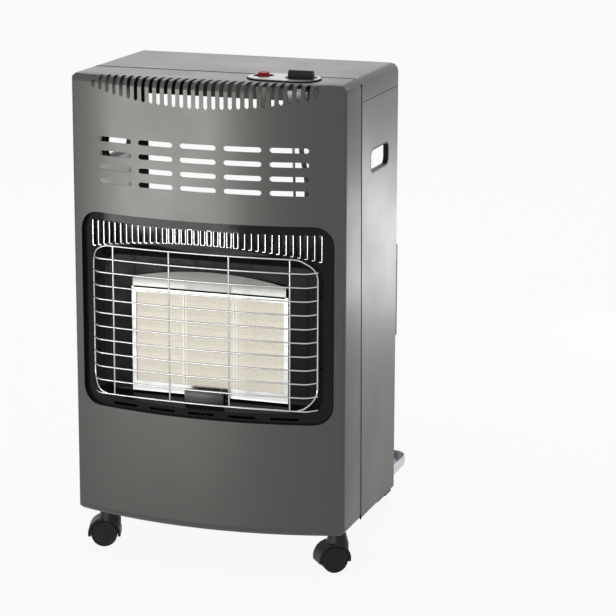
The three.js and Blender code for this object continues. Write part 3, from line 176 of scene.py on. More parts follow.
class Finish:
    """A node material under construction, on a Principled shader."""

    def __init__(self, name, **sockets):
        self.material = bpy.data.materials.new(name)
        self.material.use_nodes = True
        self.tree = self.material.node_tree
        self.shader = self.tree.nodes["Principled BSDF"]
        for socket, value in sockets.items():
            self.shader.inputs[socket.replace("_", " ")].default_value = value
        self.place = self.node("ShaderNodeTexCoord", {}, {}, "Object")

    def node(self, kind, choices, inputs, output=0):
        node = self.tree.nodes.new(kind)
        for key, value in choices.items():
            if key == "stops":
                ramp = node.color_ramp.elements
                for element, (position, colour) in zip((ramp[0], ramp[1]), value):
                    element.position = position
                    element.color = (*colour, 1)
                for position, colour in value[2:]:
                    ramp.new(position).color = (*colour, 1)
            else:
                setattr(node, key, value)
        for key, value in inputs.items():
            if isinstance(value, Value):
                self.tree.links.new(value.socket, node.inputs[key])
            else:
                node.inputs[key].default_value = value
        return Value(self, node.outputs[output])

    def feed(self, socket, value):
        self.tree.links.new(value.socket, self.shader.inputs[socket])

    def axes(self):
        node = self.tree.nodes.new("ShaderNodeSeparateXYZ")
        self.tree.links.new(self.place.socket, node.inputs[0])
        return [Value(self, node.outputs[i]) for i in range(3)]

    def stretched(self, scale):
        return self.node("ShaderNodeMapping", {}, {"Vector": self.place, "Scale": scale})

    def noise(self, scale, detail=2.0, vector=None):
        inputs = {"Vector": vector or self.place, "Scale": scale, "Detail": detail}
        return self.node("ShaderNodeTexNoise", {}, inputs, "Fac")

    def spread(self, value, low, high, new_low, new_high):
        inputs = {0: value, 1: low, 2: high, 3: new_low, 4: new_high}
        return self.node("ShaderNodeMapRange", {}, inputs)

    def blend(self, factor, first, second):
        node = self.tree.nodes.new("ShaderNodeMix")
        node.data_type = "RGBA"
        for key, value in ((0, factor), (6, first), (7, second)):
            if isinstance(value, Value):
                self.tree.links.new(value.socket, node.inputs[key])
            else:
                node.inputs[key].default_value = value if key == 0 else (*value, 1)
        return Value(self, node.outputs[2])

    def vector(self, operation, first, second=(0, 0, 0), output=0):
        return self.node("ShaderNodeVectorMath", {"operation": operation}, {0: first, 1: second}, output)

    def bump(self, height, distance, strength=1.0, normal=None):
        inputs = {"Height": height, "Distance": distance, "Strength": strength}
        if normal:
            inputs["Normal"] = normal
        self.feed("Normal", self.node("ShaderNodeBump", {}, inputs))


def shade(colour, factor):
    return tuple(min(1.0, channel * factor) for channel in colour)


def powder_coat(name, colour, metallic=0.7, roughness=0.34):
    """Metallic powder coat: a fine orange peel, flakes, and a faint cloudiness in the gloss.

    The bowed sheet is shaded by its true arc, so that its flat facets don't show.
    """
    finish = Finish(name, Metallic=metallic, Specular_IOR_Level=0.45)
    flakes = finish.node("ShaderNodeTexVoronoi", {}, {"Vector": finish.place, "Scale": 1400.0}, "Distance")
    cloud = finish.noise(9.0, 3.0)
    flaked = finish.blend(finish.spread(flakes, 0.15, 0.7, 1.0, 0.0) * 0.35, colour, shade(colour, 1.5))
    clouded = finish.spread(cloud, 0.3, 0.7, 0.0, 0.25)
    finish.feed("Base Color", finish.blend(clouded, flaked, shade(colour, 0.86)))
    finish.feed("Roughness", finish.spread(cloud, 0.3, 0.7, roughness - 0.03, roughness + 0.05))
    finish.bump(finish.noise(900.0, 2.0), 0.00004, 1.0, bow_normal(finish))
    return finish.material


def bow_normal(finish):
    """The shading normal: square to the bow where the facet lies along it, as meshed elsewhere."""
    middle = ORIGIN + Vector((0, BOW_CENTRE * MM, 0))
    outward = finish.vector("SUBTRACT", finish.place, tuple(middle))
    outward = finish.vector("NORMALIZE", finish.vector("MULTIPLY", outward, (1, 1, 0)))
    facet = finish.node("ShaderNodeNewGeometry", {}, {}, "True Normal")
    meshed = finish.node("ShaderNodeNewGeometry", {}, {}, "Normal")
    along = finish.vector("DOT_PRODUCT", outward, facet, "Value") > 0.998
    return finish.node("ShaderNodeMix", {"data_type": "VECTOR"}, {0: along, 4: meshed, 5: outward}, 1)


def galvanised_sheet():
    """Hot-dip zinc: angular spangles that differ in shade and gloss."""
    finish = Finish("galvanised_sheet", Metallic=0.85)
    warp = finish.noise(30.0, 2.0)
    crystals = finish.node("ShaderNodeTexVoronoi", {}, {"Vector": finish.place, "Scale": 75.0}, "Color")
    grain = finish.node("ShaderNodeSeparateColor", {}, {0: crystals})
    finish.feed("Base Color", finish.blend(grain, (0.42, 0.44, 0.46), (0.62, 0.64, 0.66)))
    finish.feed("Roughness", finish.spread(grain, 0.0, 1.0, 0.32, 0.5))
    finish.bump(warp + grain * 0.5, 0.0001, 0.5)
    return finish.material


def gloss_enamel():
    """Vitreous black enamel with a slight ripple and fine dust."""
    finish = Finish("gloss_enamel", Metallic=0.0, Specular_IOR_Level=0.1, Coat_Weight=0.05)
    ripple = finish.noise(35.0, 2.0)
    dust = finish.spread(finish.noise(700.0, 2.0), 0.62, 0.8, 0.0, 1.0)
    finish.feed("Base Color", finish.blend(dust * 0.3, (0.006, 0.006, 0.0065), (0.04, 0.04, 0.04)))
    finish.feed("Roughness", finish.spread(ripple, 0.3, 0.7, 0.1, 0.18))
    finish.bump(ripple, 0.0006, 0.35, bow_normal(finish))
    return finish.material


def bright_plate(name, colour, roughness, stretch):
    """Bright metal with fine drawing lines along one direction."""
    finish = Finish(name, Metallic=1.0)
    lines = finish.noise(60.0, 3.0, finish.stretched(stretch))
    cloud = finish.noise(18.0, 2.0)
    drawn = finish.spread(lines, 0.3, 0.7, 0.0, 0.5)
    finish.feed("Base Color", finish.blend(drawn, colour, shade(colour, 0.82)))
    finish.feed("Roughness", finish.spread(cloud, 0.3, 0.7, roughness * 0.8, roughness * 1.3))
    finish.bump(lines, 0.00003)
    return finish.material


PLAQUE_PERIOD = 0.0782
PLAQUE_MARGIN = 0.0032


def burner_ceramic():
    """Cream ceramic pierced by rows of small round holes, in blocks with plain margins; the holes are
    painted darker, as shade in their depth.
    """
    finish = Finish("burner_ceramic", Metallic=0.0, Specular_IOR_Level=0.2)
    x, _, z = finish.axes()
    pitch = settings().plaque_pitch
    across = x.wrapped(pitch)
    up = z.wrapped(pitch)
    distance = finish.node("ShaderNodeMath", {"operation": "SQRT"}, {0: across * across + up * up})
    hole_and_shade = finish.spread(distance, pitch * 0.2, pitch * 0.33, 1.0, 0.0)
    from_joint = abs((x - ORIGIN.x - PLAQUE_PERIOD / 2).wrapped(PLAQUE_PERIOD))
    margin = from_joint < PLAQUE_MARGIN
    hole_and_shade = hole_and_shade * (1.0 - margin)
    nearest = {0: abs(x.wrapped(2 * pitch)), 1: abs(z.wrapped(2 * pitch))}
    ribs = finish.node("ShaderNodeMath", {"operation": "MINIMUM"}, nearest) < pitch * 0.2
    colour = tuple(settings().plaque_colour)
    patch = finish.noise(55.0, 3.0)
    streak = finish.noise(90.0, 1.0, finish.stretched((1.0, 1.0, 0.06)))
    body = finish.blend(finish.spread(patch, 0.35, 0.7, 0.0, 0.5), colour, shade(colour, 0.93))
    body = finish.blend(finish.spread(streak, 0.45, 0.75, 0.0, 0.35), body, (0.84, 0.73, 0.56))
    # The holes are painted at half the ceramic's colour: painted shade in their depth, over the bump that
    # shapes them.
    body = finish.blend(hole_and_shade * 0.6, body, shade(colour, 0.5))
    finish.feed("Base Color", finish.blend(ribs * 0.3 + margin * 0.5, body, (0.97, 0.95, 0.88)))
    finish.feed("Roughness", finish.spread(patch, 0.3, 0.7, 0.75, 0.95))
    finish.bump(1.0 - hole_and_shade, 0.0005)
    return finish.material


def moulding(name, colour, roughness=0.45, grain=650.0):
    """A plastic moulding with a fine spark-eroded grain."""
    finish = Finish(name, Metallic=0.0, Specular_IOR_Level=0.2)
    texture = finish.noise(grain, 3.0)
    wear = finish.noise(24.0, 3.0)
    worn = finish.spread(wear, 0.4, 0.75, 0.0, 0.5)
    finish.feed("Base Color", finish.blend(worn, colour, shade(colour, 1.35)))
    finish.feed("Roughness", finish.spread(texture, 0.3, 0.7, roughness - 0.05, roughness + 0.1))
    finish.bump(texture, 0.00008)
    return finish.material


def cast_metal(name, colour, roughness):
    """Die-cast or turned metal with a slightly grainy skin."""
    finish = Finish(name, Metallic=0.9)
    grain = finish.noise(420.0, 3.0)
    skin = finish.spread(grain, 0.35, 0.7, 0.0, 0.4)
    finish.feed("Base Color", finish.blend(skin, colour, shade(colour, 0.75)))
    finish.feed("Roughness", finish.spread(grain, 0.3, 0.7, roughness, roughness + 0.12))
    finish.bump(grain, 0.00006)
    return finish.material


def glazed_insulator():
    """White glazed ceramic with pinholes."""
    finish = Finish("glazed_insulator", Metallic=0.0, Coat_Weight=0.5)
    speck = finish.spread(finish.noise(500.0, 2.0), 0.66, 0.75, 0.0, 1.0)
    finish.feed("Base Color", finish.blend(speck * 0.5, (0.82, 0.8, 0.76), (0.5, 0.46, 0.4)))
    finish.feed("Roughness", finish.spread(speck, 0.0, 1.0, 0.25, 0.5))
    return finish.material


NODE_FINISHES = {
    "paint": ("front_casing", "top_cover", "side_panel_left", "side_panel_right"),
    "zinc": ("base_tray", "heat_shield", "burner_housing", "mixing_tube"),
    "enamel": ("radiant_surround",),
    "bright": ("burner_frame",),
    "dark_steel": ("pilot_bracket", "pilot_burner", "thermocouple"),
    "reflector": ("heat_deflector",),
    "ceramic": ("plaque_left", "plaque_centre", "plaque_right"),
    "black": (
        "hand_grip_left",
        "hand_grip_right",
        "cover_bracket_left",
        "cover_bracket_right",
        "control_insert",
    ),
    "plate": ("control_plate",),
    "brass": ("valve_rotor", "valve_spindle", "hose_inlet"),
    "aluminium": ("gas_pipe", "pilot_pipe", "valve_body"),
    "insulator": ("spark_electrode",),
    "cream": ("igniter_body",),
    "red_sleeve": ("ignition_lead",),
}
FINISHES = {}


def make_finishes():
    paint = tuple(settings().paint_colour)
    FINISHES.update(
        paint=powder_coat("casing_paint", paint),
        zinc=galvanised_sheet(),
        enamel=gloss_enamel(),
        bright=bright_plate("bright_steel", (0.6, 0.6, 0.59), 0.24, (0.04, 1.0, 1.0)),
        reflector=powder_coat("reflector_sheet", (0.27, 0.28, 0.26), 0.5, 0.3),
        chrome=bright_plate("chrome_wire", (0.52, 0.52, 0.52), 0.16, (1.0, 1.0, 1.0)),
        plate=bright_plate("silver_plate", (0.34, 0.34, 0.35), 0.3, (0.05, 1.0, 1.0)),
        ceramic=burner_ceramic(),
        black=moulding("black_moulding", (0.018, 0.018, 0.02)),
        castor=moulding("castor_plastic", (0.009, 0.009, 0.0095), 0.4, 420.0),
        tyre=moulding("castor_tread", (0.009, 0.009, 0.0095), 0.55, 900.0),
        knob=moulding("knob_plastic", (0.012, 0.012, 0.014), 0.32, 900.0),
        button=moulding("button_plastic", tuple(settings().button_colour), 0.3, 900.0),
        mark=moulding("white_mark", (0.75, 0.75, 0.74), 0.5, 900.0),
        # Bright metal for the louvre lips: a painted highlight on the black enamel surround.
        lip=bright_plate("lip_metal", (0.85, 0.85, 0.84), 0.25, (1.0, 1.0, 1.0)),
        # Near-black strips for the seams, the plate's edge and the burner's frame: painted shade in the
        # gaps.
        seal=moulding("seam_seal", (0.006, 0.006, 0.006), 0.8, 900.0),
        dark_steel=cast_metal("dark_steel", (0.05, 0.05, 0.052), 0.35),
        brass=cast_metal("turned_brass", (0.62, 0.44, 0.17), 0.28),
        aluminium=cast_metal("cast_aluminium", (0.6, 0.61, 0.63), 0.42),
        zinc_screw=cast_metal("zinc_screw", (0.55, 0.56, 0.58), 0.3),
        insulator=glazed_insulator(),
        cream=moulding("cream_moulding", (0.72, 0.68, 0.6), 0.5),
        red_sleeve=moulding("lead_sleeve", (0.14, 0.012, 0.012), 0.5),
    )


def set_finish(piece, finish):
    piece.data.materials.clear()
    piece.data.materials.append(FINISHES[finish])


# Modelling helpers


def select_only(*objects):
    if bpy.context.object and bpy.context.object.mode != "OBJECT":
        bpy.ops.object.mode_set(mode="OBJECT")
    bpy.ops.object.select_all(action="DESELECT")
    for obj in objects:
        obj.select_set(True)
    bpy.context.view_layer.objects.active = objects[0]


def edit_top(piece):
    """Selects the faces that look up, and goes into edit mode."""
    select_only(piece)
    bpy.ops.object.mode_set(mode="EDIT")
    bpy.ops.mesh.select_mode(type="FACE")
    bpy.ops.mesh.select_all(action="DESELECT")
    bpy.ops.object.mode_set(mode="OBJECT")
    for face in piece.data.polygons:
        face.select = face.normal.z > 0.9
    bpy.ops.object.mode_set(mode="EDIT")


def leave_edit():
    bpy.ops.object.mode_set(mode="OBJECT")


def new_piece(name):
    piece = bpy.context.object
    piece.name = name
    piece.data.name = name
    return piece


def apply_place(piece):
    select_only(piece)
    bpy.ops.object.transform_apply(location=True, rotation=True, scale=True)


def apply_modifier(piece, kind, **choices):
    select_only(piece)
    modifier = piece.modifiers.new(kind.lower(), kind)
    for key, value in choices.items():
        setattr(modifier, key, value)
    bpy.ops.object.modifier_apply(modifier=modifier.name)


def round_edges(piece, width, segments=3, angle=40):
    apply_modifier(
        piece, "BEVEL", width=width, segments=segments, limit_method="ANGLE", angle_limit=math.radians(angle)
    )


def smooth(piece, angle=40):
    select_only(piece)
    bpy.ops.object.shade_smooth_by_angle(angle=math.radians(angle))


def joined(name, pieces):
    select_only(*pieces)
    bpy.ops.object.join()
    return new_piece(name)


def copies(master, moves):
    """Copies a piece to several places, each copy with its own mesh, and takes the first one away."""
    twins = []
    for move in moves:
        twin = master.copy()
        twin.data = master.data.copy()
        twin.data.transform(move)
        bpy.context.scene.collection.objects.link(twin)
        twins.append(twin)
    bpy.data.objects.remove(master)
    return twins


def turned_to(place, axis):
    """The move that takes a piece modelled at the origin, along Z, to a place and an axis."""
    turn = Vector((0, 0, 1)).rotation_difference(Vector(axis)).to_matrix().to_4x4()
    return Matrix.Translation(place) @ turn


def shifted(x, y, z):
    """A move given in millimetres."""
    return Matrix.Translation(Vector((x, y, z)) * MM)


def finish_piece(piece, finish, body, slot, *nodes):
    set_finish(piece, finish)
    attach(piece, body)
    if nodes:
        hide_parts(*nodes)


def cylinder(name, radius, depth, centre, sides=64):
    bpy.ops.mesh.primitive_cylinder_add(
        vertices=sides, radius=radius, depth=depth, location=centre, end_fill_type="NGON"
    )
    piece = new_piece(name)
    apply_place(piece)
    return piece


def box_piece(name, low, high):
    low, high = Vector(low), Vector(high)
    bpy.ops.mesh.primitive_cube_add(size=1, location=(low + high) / 2, scale=high - low)
    piece = new_piece(name)
    apply_place(piece)
    return piece


def soften_node(name):
    """Smooths a CAD node's look with live modifiers: its facets are welded, and its edges split."""
    node = frame["nodes"][name]
    select_only(node)
    if node.data.has_custom_normals:
        bpy.ops.mesh.customdata_custom_splitnormals_clear()
    bpy.ops.object.shade_smooth()
    weld = node.modifiers.new("weld", "WELD")
    weld.merge_threshold = 0.00001
    facets = node.modifiers.new("facets", "EDGE_SPLIT")
    facets.split_angle = math.radians(30)


# Pieces


class HEATER_OT_finishes(bpy.types.Operator):
    """Give every CAD node its material"""

    bl_idname = "heater.finishes"
    bl_label = "Finishes"

    def execute(self, context):
        make_finishes()
        for finish, nodes in NODE_FINISHES.items():
            for node in nodes:
                set_finish(frame["nodes"][node], finish)
        for castor in CASTORS:
            set_finish(frame["nodes"][f"castor_{castor}_hood"], "castor")
            for part in ("stem", "axle"):
                set_finish(frame["nodes"][f"castor_{castor}_{part}"], "zinc_screw")
        for name in frame["nodes"]:
            soften_node(name)
        return {"FINISHED"}


# The guard, in millimetres
GUARD_DEPTH = 39
GUARD_SAGITTA = 12
GUARD_BEND_X = 161
GUARD_SIDE_X = 173
GUARD_SIDE_Y = -13
GUARD_TOP_X = 142
GUARD_ROWS = 12
GUARD_TOP_Z = 483
GUARD_PITCH = 20.25
GUARD_UPRIGHTS = (-136, -46, 46, 136)
GUARD_OVERHANG = 0.8
GUARD_PRONG_INSET = 26
GUARD_PRONG_END = 10
GUARD_CORNER = 0.006
WELD_DEPTH = 0.85


def guard_y(x):
    """How far forward the guard stands at a place across its width."""
    reach = abs(x)
    if reach <= GUARD_BEND_X:
        return GUARD_SAGITTA * (reach / GUARD_BEND_X) ** 2 - GUARD_DEPTH
    share = (reach - GUARD_BEND_X) / (GUARD_SIDE_X - GUARD_BEND_X)
    bend = GUARD_SAGITTA - GUARD_DEPTH
    return bend + (GUARD_SIDE_Y - bend) * share


def wire_piece(name, points, radius, resolution=3):
    """A round wire along a smooth line of points, with closed ends."""
    bpy.ops.curve.primitive_nurbs_path_add()
    curve = bpy.context.object
    curve.data.splines.clear()
    spline = curve.data.splines.new("POLY")
    spline.points.add(len(points) - 1)
    for slot, point in zip(spline.points, points):
        slot.co = (*point, 1)
    curve.data.dimensions = "3D"
    curve.data.bevel_depth = radius
    curve.data.bevel_resolution = resolution
    curve.data.use_fill_caps = True
    curve.matrix_world = Matrix.Identity(4)
    select_only(curve)
    bpy.ops.object.convert(target="MESH")
    return new_piece(name)


def rounded_path(corners, radius, steps=5):
    """Points along straight runs with arcs of about the given radius at the corners."""
    points = [corners[0]]
    for before, corner, after in zip(corners, corners[1:], corners[2:]):
        reach = min(radius, (corner - before).length / 2, (after - corner).length / 2)
        start = corner + (before - corner).normalized() * reach
        end = corner + (after - corner).normalized() * reach
        for i in range(steps + 1):
            t = i / steps
            points.append(start * (1 - t) ** 2 + corner * 2 * t * (1 - t) + end * t**2)
    points.append(corners[-1])
    return points


class HEATER_OT_guard(bpy.types.Operator):
    """Model the wire guard from round, bent wires"""

    bl_idname = "heater.guard"
    bl_label = "Wire guard"

    def execute(self, context):
        radius = settings().wire_radius
        bottom = GUARD_TOP_Z - (GUARD_ROWS - 1) * GUARD_PITCH
        wires = [wire_piece("guard_top", self.bowed_line(GUARD_TOP_X), radius)]
        line = self.bowed_line(GUARD_BEND_X)
        first, last = (at(x, GUARD_SIDE_Y, GUARD_TOP_Z) for x in (-GUARD_SIDE_X, GUARD_SIDE_X))
        line = [first, *line, last]
        ends = rounded_path(line[:3], GUARD_CORNER), rounded_path(line[-3:], GUARD_CORNER)
        row = wire_piece("guard_row", [*ends[0], *line[3:-3], *ends[1]], radius)
        wires += copies(row, [shifted(0, 0, -GUARD_PITCH * i) for i in range(1, GUARD_ROWS)])
        line = [at(0, 0, bottom - GUARD_OVERHANG), at(0, 0, GUARD_TOP_Z + GUARD_OVERHANG)]
        upright = wire_piece("guard_upright", line, radius)
        behind = 2 * radius / MM * WELD_DEPTH
        wires += copies(upright, [shifted(x, guard_y(x) + behind, 0) for x in GUARD_UPRIGHTS])
        bend = GUARD_SIDE_X - GUARD_TOP_X
        for side in (-1, 1):
            points = []
            for centre, start, end in ((bottom + bend, -80, 0), (GUARD_TOP_Z - bend, 0, 90)):
                for i in range(9):
                    angle = math.radians(start + (end - start) * i / 8)
                    x = GUARD_TOP_X + bend * math.cos(angle)
                    points.append(at(side * x, guard_y(x), centre + bend * math.sin(angle)))
            wires.append(wire_piece("guard_side", points, radius))
        prong = wire_piece("guard_prong", [at(0, GUARD_SIDE_Y, 0), at(0, GUARD_PRONG_END, 0)], radius)
        heights = (bottom + bend + GUARD_PRONG_INSET, GUARD_TOP_Z - bend - GUARD_PRONG_INSET)
        wires += copies(prong, [shifted(x, 0, z) for x in (-GUARD_SIDE_X, GUARD_SIDE_X) for z in heights])
        guard = joined("guard_wires", wires)
        smooth(guard, 60)
        finish_piece(guard, "chrome", "cabinet", "chrome", "guard_grille")
        return {"FINISHED"}

    def bowed_line(self, reach):
        """Points along the guard's bow at its top row, as far as the reach on both sides."""
        xs = [reach * (i / 8 - 1) for i in range(17)]
        return [at(x, guard_y(x), GUARD_TOP_Z) for x in xs]


# The knob and the button, in metres
SKIRT_HEIGHT = 0.004
GRIP_HALF_LENGTH = 0.019
GRIP_HALF_WIDTH = 0.0065
GRIP_FOOT = 0.003
MARK_START = 0.008
MARK_END = 0.0165
MARK_HALF_WIDTH = 0.0007
CAP_HEIGHT = 0.0145
CAP_OVERHANG = 0.0023


class HEATER_OT_controls(bpy.types.Operator):
    """Model the knob with its grip and pointer, and the igniter button"""

    bl_idname = "heater.controls"
    bl_label = "Knob and button"

    def execute(self, context):
        low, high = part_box("control_knob")
        centre = (low + high) / 2
        radius = (high.x - low.x) / 2
        skirt = cylinder("knob", radius, SKIRT_HEIGHT, (centre.x, centre.y, low.z + SKIRT_HEIGHT / 2))
        edit_top(skirt)
        bpy.ops.mesh.inset(thickness=0.0025)
        bpy.ops.transform.translate(value=(0, 0, 0.0008))
        leave_edit()
        round_edges(skirt, 0.0006)
        grip = box_piece(
            "grip",
            (centre.x - GRIP_HALF_LENGTH, centre.y - GRIP_HALF_WIDTH, low.z + GRIP_FOOT),
            (centre.x + GRIP_HALF_LENGTH, centre.y + GRIP_HALF_WIDTH, high.z),
        )
        edit_top(grip)
        bpy.ops.transform.resize(value=(0.95, 0.78, 1))
        leave_edit()
        round_edges(grip, 0.0016, 4)
        mark = box_piece(
            "knob_mark",
            (centre.x + MARK_START, centre.y - MARK_HALF_WIDTH, high.z - 0.0012),
            (centre.x + MARK_END, centre.y + MARK_HALF_WIDTH, high.z + 0.00005),
        )
        round_edges(mark, 0.0003, 2)
        smooth(mark)
        finish_piece(mark, "mark", "knob", "white_ceramic")
        knob = joined("knob", [skirt, grip])
        smooth(knob)
        finish_piece(knob, "knob", "knob", "black_plastic", "control_knob")
        low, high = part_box("igniter_button")
        centre = (low + high) / 2
        radius = (high.x - low.x) / 2
        middle = (centre.x, centre.y, high.z - CAP_HEIGHT / 2)
        button = cylinder("button", radius, CAP_HEIGHT, middle, sides=48)
        edit_top(button)
        bpy.ops.mesh.inset(thickness=0.0022)
        bpy.ops.transform.translate(value=(0, 0, -0.0009))
        leave_edit()
        round_edges(button, 0.0008)
        top = high.z - CAP_HEIGHT + 0.0005
        middle = (centre.x, centre.y, (top + low.z) / 2)
        stem = cylinder("stem", radius - CAP_OVERHANG, top - low.z, middle)
        button = joined("button", [button, stem])
        smooth(button)
        finish_piece(button, "button", "igniter_button", "red_plastic", "igniter_button")
        return {"FINISHED"}


def joint(name):
    return next(j for j in frame["joints"] if j["name"] == name)


# A castor's wheel, in metres
WHEEL_RADIUS = 0.0198
WHEEL_WIDTH = 0.013
WHEEL_MIDDLE = 0.0095
HUB_GROOVE = 0.0008


class HEATER_OT_wheels(bpy.types.Operator):
    """Model the castors' wheels with a tread, a rim and a dished hub"""

    bl_idname = "heater.wheels"
    bl_label = "Castor wheels"

    def execute(self, context):
        wheel = cylinder("wheel", WHEEL_RADIUS, WHEEL_WIDTH, (0, 0, WHEEL_MIDDLE))
        edit_top(wheel)
        bpy.ops.mesh.inset(thickness=0.0025)
        bpy.ops.mesh.inset(thickness=HUB_GROOVE)
        bpy.ops.transform.translate(value=(0, 0, -HUB_GROOVE))
        bpy.ops.mesh.inset(thickness=0.0095)
        bpy.ops.transform.translate(value=(0, 0, HUB_GROOVE))
        leave_edit()
        round_edges(wheel, 0.0007, 3, 25)
        smooth(wheel, 35)
        sides = [(castor, side) for castor in CASTORS for side in ("outer", "inner")]
        moves = []
        for castor, side in sides:
            spin = joint(f"castor_{castor}_{side}_spin")
            axis = Vector(spin["axis"]) * (1 if side == "outer" else -1)
            moves.append(turned_to(spin["pos_m"], axis))
        for (castor, side), piece in zip(sides, copies(wheel, moves)):
            node = f"castor_{castor}_wheel_{side}"
            piece.name = piece.data.name = node + "_tread"
            finish_piece(piece, "tyre", f"castor_{castor}_{side}", "black_plastic", node)
        return {"FINISHED"}


# The louvres, in millimetres
LOUVRES = 36
LOUVRE_PITCH = 9.9
LOUVRE_HALF = 3.3
LOUVRE_TOP = 516
LOUVRE_LOW = 462
LOUVRE_SLOPE = 0.7
LIP_INSET = 2.5
FULL_HIGHLIGHT_REACH = 60
LIP_CORNER = 0.0016
LIP_RADIUS = 0.00055


def surround_y(x):
    """Front of the surround's bowed flange."""
    return BOW_CENTRE - math.sqrt((BOW_RADIUS - 6.3) ** 2 - x**2)


class HEATER_OT_louvre_lips(bpy.types.Operator):
    """Model rolled lips round the louvres of the surround, in bright metal as painted highlights on the
    enamel
    """

    bl_idname = "heater.louvre_lips"
    bl_label = "Louvre lips"

    def execute(self, context):
        lips = []
        for i in range(LOUVRES):
            x = (i - (LOUVRES - 1) / 2) * LOUVRE_PITCH
            y = surround_y(x) - 0.2
            low = LOUVRE_LOW + LOUVRE_SLOPE * (12 - y) + LIP_INSET
            left, right = x - LOUVRE_HALF, x + LOUVRE_HALF
            corners = {
                "left": [at(left, y, LOUVRE_TOP - 1), at(left, y, low), at(x + 1, y, low)],
                "right": [at(right, y, LOUVRE_TOP - 1), at(right, y, low), at(x - 1, y, low)],
                "top": [at(left, y, LOUVRE_TOP), at(right, y, LOUVRE_TOP)],
            }
            # Lips go only where the highlights fall: the left side of the left louvres, the right side of
            # the right ones, all round in the middle.
            if x < -FULL_HIGHLIGHT_REACH:
                sides = ("left",)
            elif x > FULL_HIGHLIGHT_REACH:
                sides = ("right",)
            else:
                sides = ("left", "right", "top")
            for side in sides:
                path = corners[side]
                path = rounded_path(path, LIP_CORNER, 3) if len(path) > 2 else path
                lips.append(wire_piece("louvre_lip", path, LIP_RADIUS, 1))
        piece = joined("louvre_lips", lips)
        smooth(piece, 60)
        finish_piece(piece, "lip", "cabinet", "bright_steel")
        return {"FINISHED"}


# The seams between the sheets, in millimetres
SEAM_X = 209.4
SEAM_Y = 69.4
COVER_SEAM_Z = 729.5
SIDE_SEAM_Z = 696.1


class HEATER_OT_seams(bpy.types.Operator):
    """Model dark strips in the seams between the front casing, the cover and the side panels, painted shade
    in the seam gaps
    """

    bl_idname = "heater.seams"
    bl_label = "Seam seals"

    def execute(self, context):
        upright = seal_piece([at(0, 82.4, 70), at(0, SEAM_Y, 722)], 0.0013)
        level = seal_piece([at(0, 70.2, SIDE_SEAM_Z), at(0, 249, SIDE_SEAM_Z)], 0.0009)
        seals = [seal_piece([at(-200, SEAM_Y, COVER_SEAM_Z), at(200, SEAM_Y, COVER_SEAM_Z)], 0.0011)]
        for master in (upright, level):
            seals += copies(master, [shifted(x, 0, 0) for x in (-SEAM_X, SEAM_X)])
        piece = joined("seam_seals", seals)
        smooth(piece, 60)
        finish_piece(piece, "seal", "cabinet", "black_plastic")
        return {"FINISHED"}


def seal_piece(points, radius):
    """A thin round dark strip between two points, painted shade in a gap."""
    return wire_piece("seal", points, radius, 1)


SHADOW_LINE_RADIUS = 0.0008
SHADOW_LINE_RISE = 0.0006
SHADOW_LINE_STEPS = 24


class HEATER_OT_plate_shadow_line(bpy.types.Operator):
    """Model a black line under the edge of the control plate, painted shadow in the gap below it"""

    bl_idname = "heater.plate_gasket"
    bl_label = "Plate shadow line"

    def execute(self, context):
        low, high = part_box("control_plate")
        radius = (high.y - low.y) / 2
        middle = (low + high) / 2
        reach = (high.x - low.x) / 2 - radius
        line = []
        for side, start in ((1, -90), (-1, 90)):
            for i in range(SHADOW_LINE_STEPS + 1):
                angle = math.radians(start + 180 * i / SHADOW_LINE_STEPS)
                across, along = side * reach + radius * math.cos(angle), radius * math.sin(angle)
                line.append(middle + Vector((across, along, 0)))
        line.append(line[0])
        for point in line:
            point.z = low.z + SHADOW_LINE_RISE
        # A dark line along the plate's lower edge: painted shadow under the plate.
        shadow_line = wire_piece("plate_shadow_line", line, SHADOW_LINE_RADIUS, 1)
        smooth(shadow_line, 60)
        finish_piece(shadow_line, "seal", "cabinet", "black_plastic")
        return {"FINISHED"}


class HEATER_OT_pilot_shroud(bpy.types.Operator):
    """Model the dark draught shroud before the pilot flame, and a dark strip over the burner's frame,
    painted shade in the gap under the deflector
    """

    bl_idname = "heater.pilot_shroud"
    bl_label = "Pilot shroud"

    def execute(self, context):
        # A near-black strip over the top of the burner's frame: painted shade in the gap between the
        # deflector and the frame.
        seal = box_piece("burner_seal", at(-117.5, 3.0, 416.4), at(117.5, 3.9, 418.9))
        round_edges(seal, 0.0003, 2)
        finish_piece(seal, "seal", "cabinet", "black_enamel")
        shroud = box_piece("pilot_shroud", at(-34, -9.5, 252), at(27, -8.3, 270))
        edit_top(shroud)
        bpy.ops.mesh.extrude_region_move(TRANSFORM_OT_translate={"value": (0, 0.002, 0.003)})
        bpy.ops.transform.resize(value=(0.96, 1, 1))
        leave_edit()
        round_edges(shroud, 0.0004, 2)
        smooth(shroud)
        finish_piece(shroud, "dark_steel", "cabinet", "black_enamel")
        return {"FINISHED"}


def screw(radius, height):
    """A pan-head screw with a crossed recess."""
    head = cylinder("screw", radius, height, (0, 0, height / 2), sides=24)
    edit_top(head)
    bpy.ops.mesh.inset(thickness=radius * 0.25)
    bpy.ops.transform.translate(value=(0, 0, height * 0.2))
    leave_edit()
    arms = [
        box_piece("arm", (-radius * a, -radius * b, height * 0.5), (radius * a, radius * b, height * 2))
        for a, b in ((0.55, 0.13), (0.13, 0.55))
    ]
    for arm in arms:
        apply_modifier(head, "BOOLEAN", object=arm, operation="DIFFERENCE")
        bpy.data.objects.remove(arm)
    return head


# Where the screws and nuts sit, in millimetres
REAR_EDGE_Y = 250
BRACKET_Y = 251.8
RAIL_SCREWS = [(x, REAR_EDGE_Y, 706) for x in (-170, 0, 170)]
SIDE_SCREWS = [(x, REAR_EDGE_Y, z) for x in (-200.5, 200.5) for z in (128, 328, 528)]
BRACKET_SCREWS = [(x, BRACKET_Y, z) for x in (-202.5, 202.5) for z in (340, 382, 424)]
TRAY_FLOOR_Z = 69.8


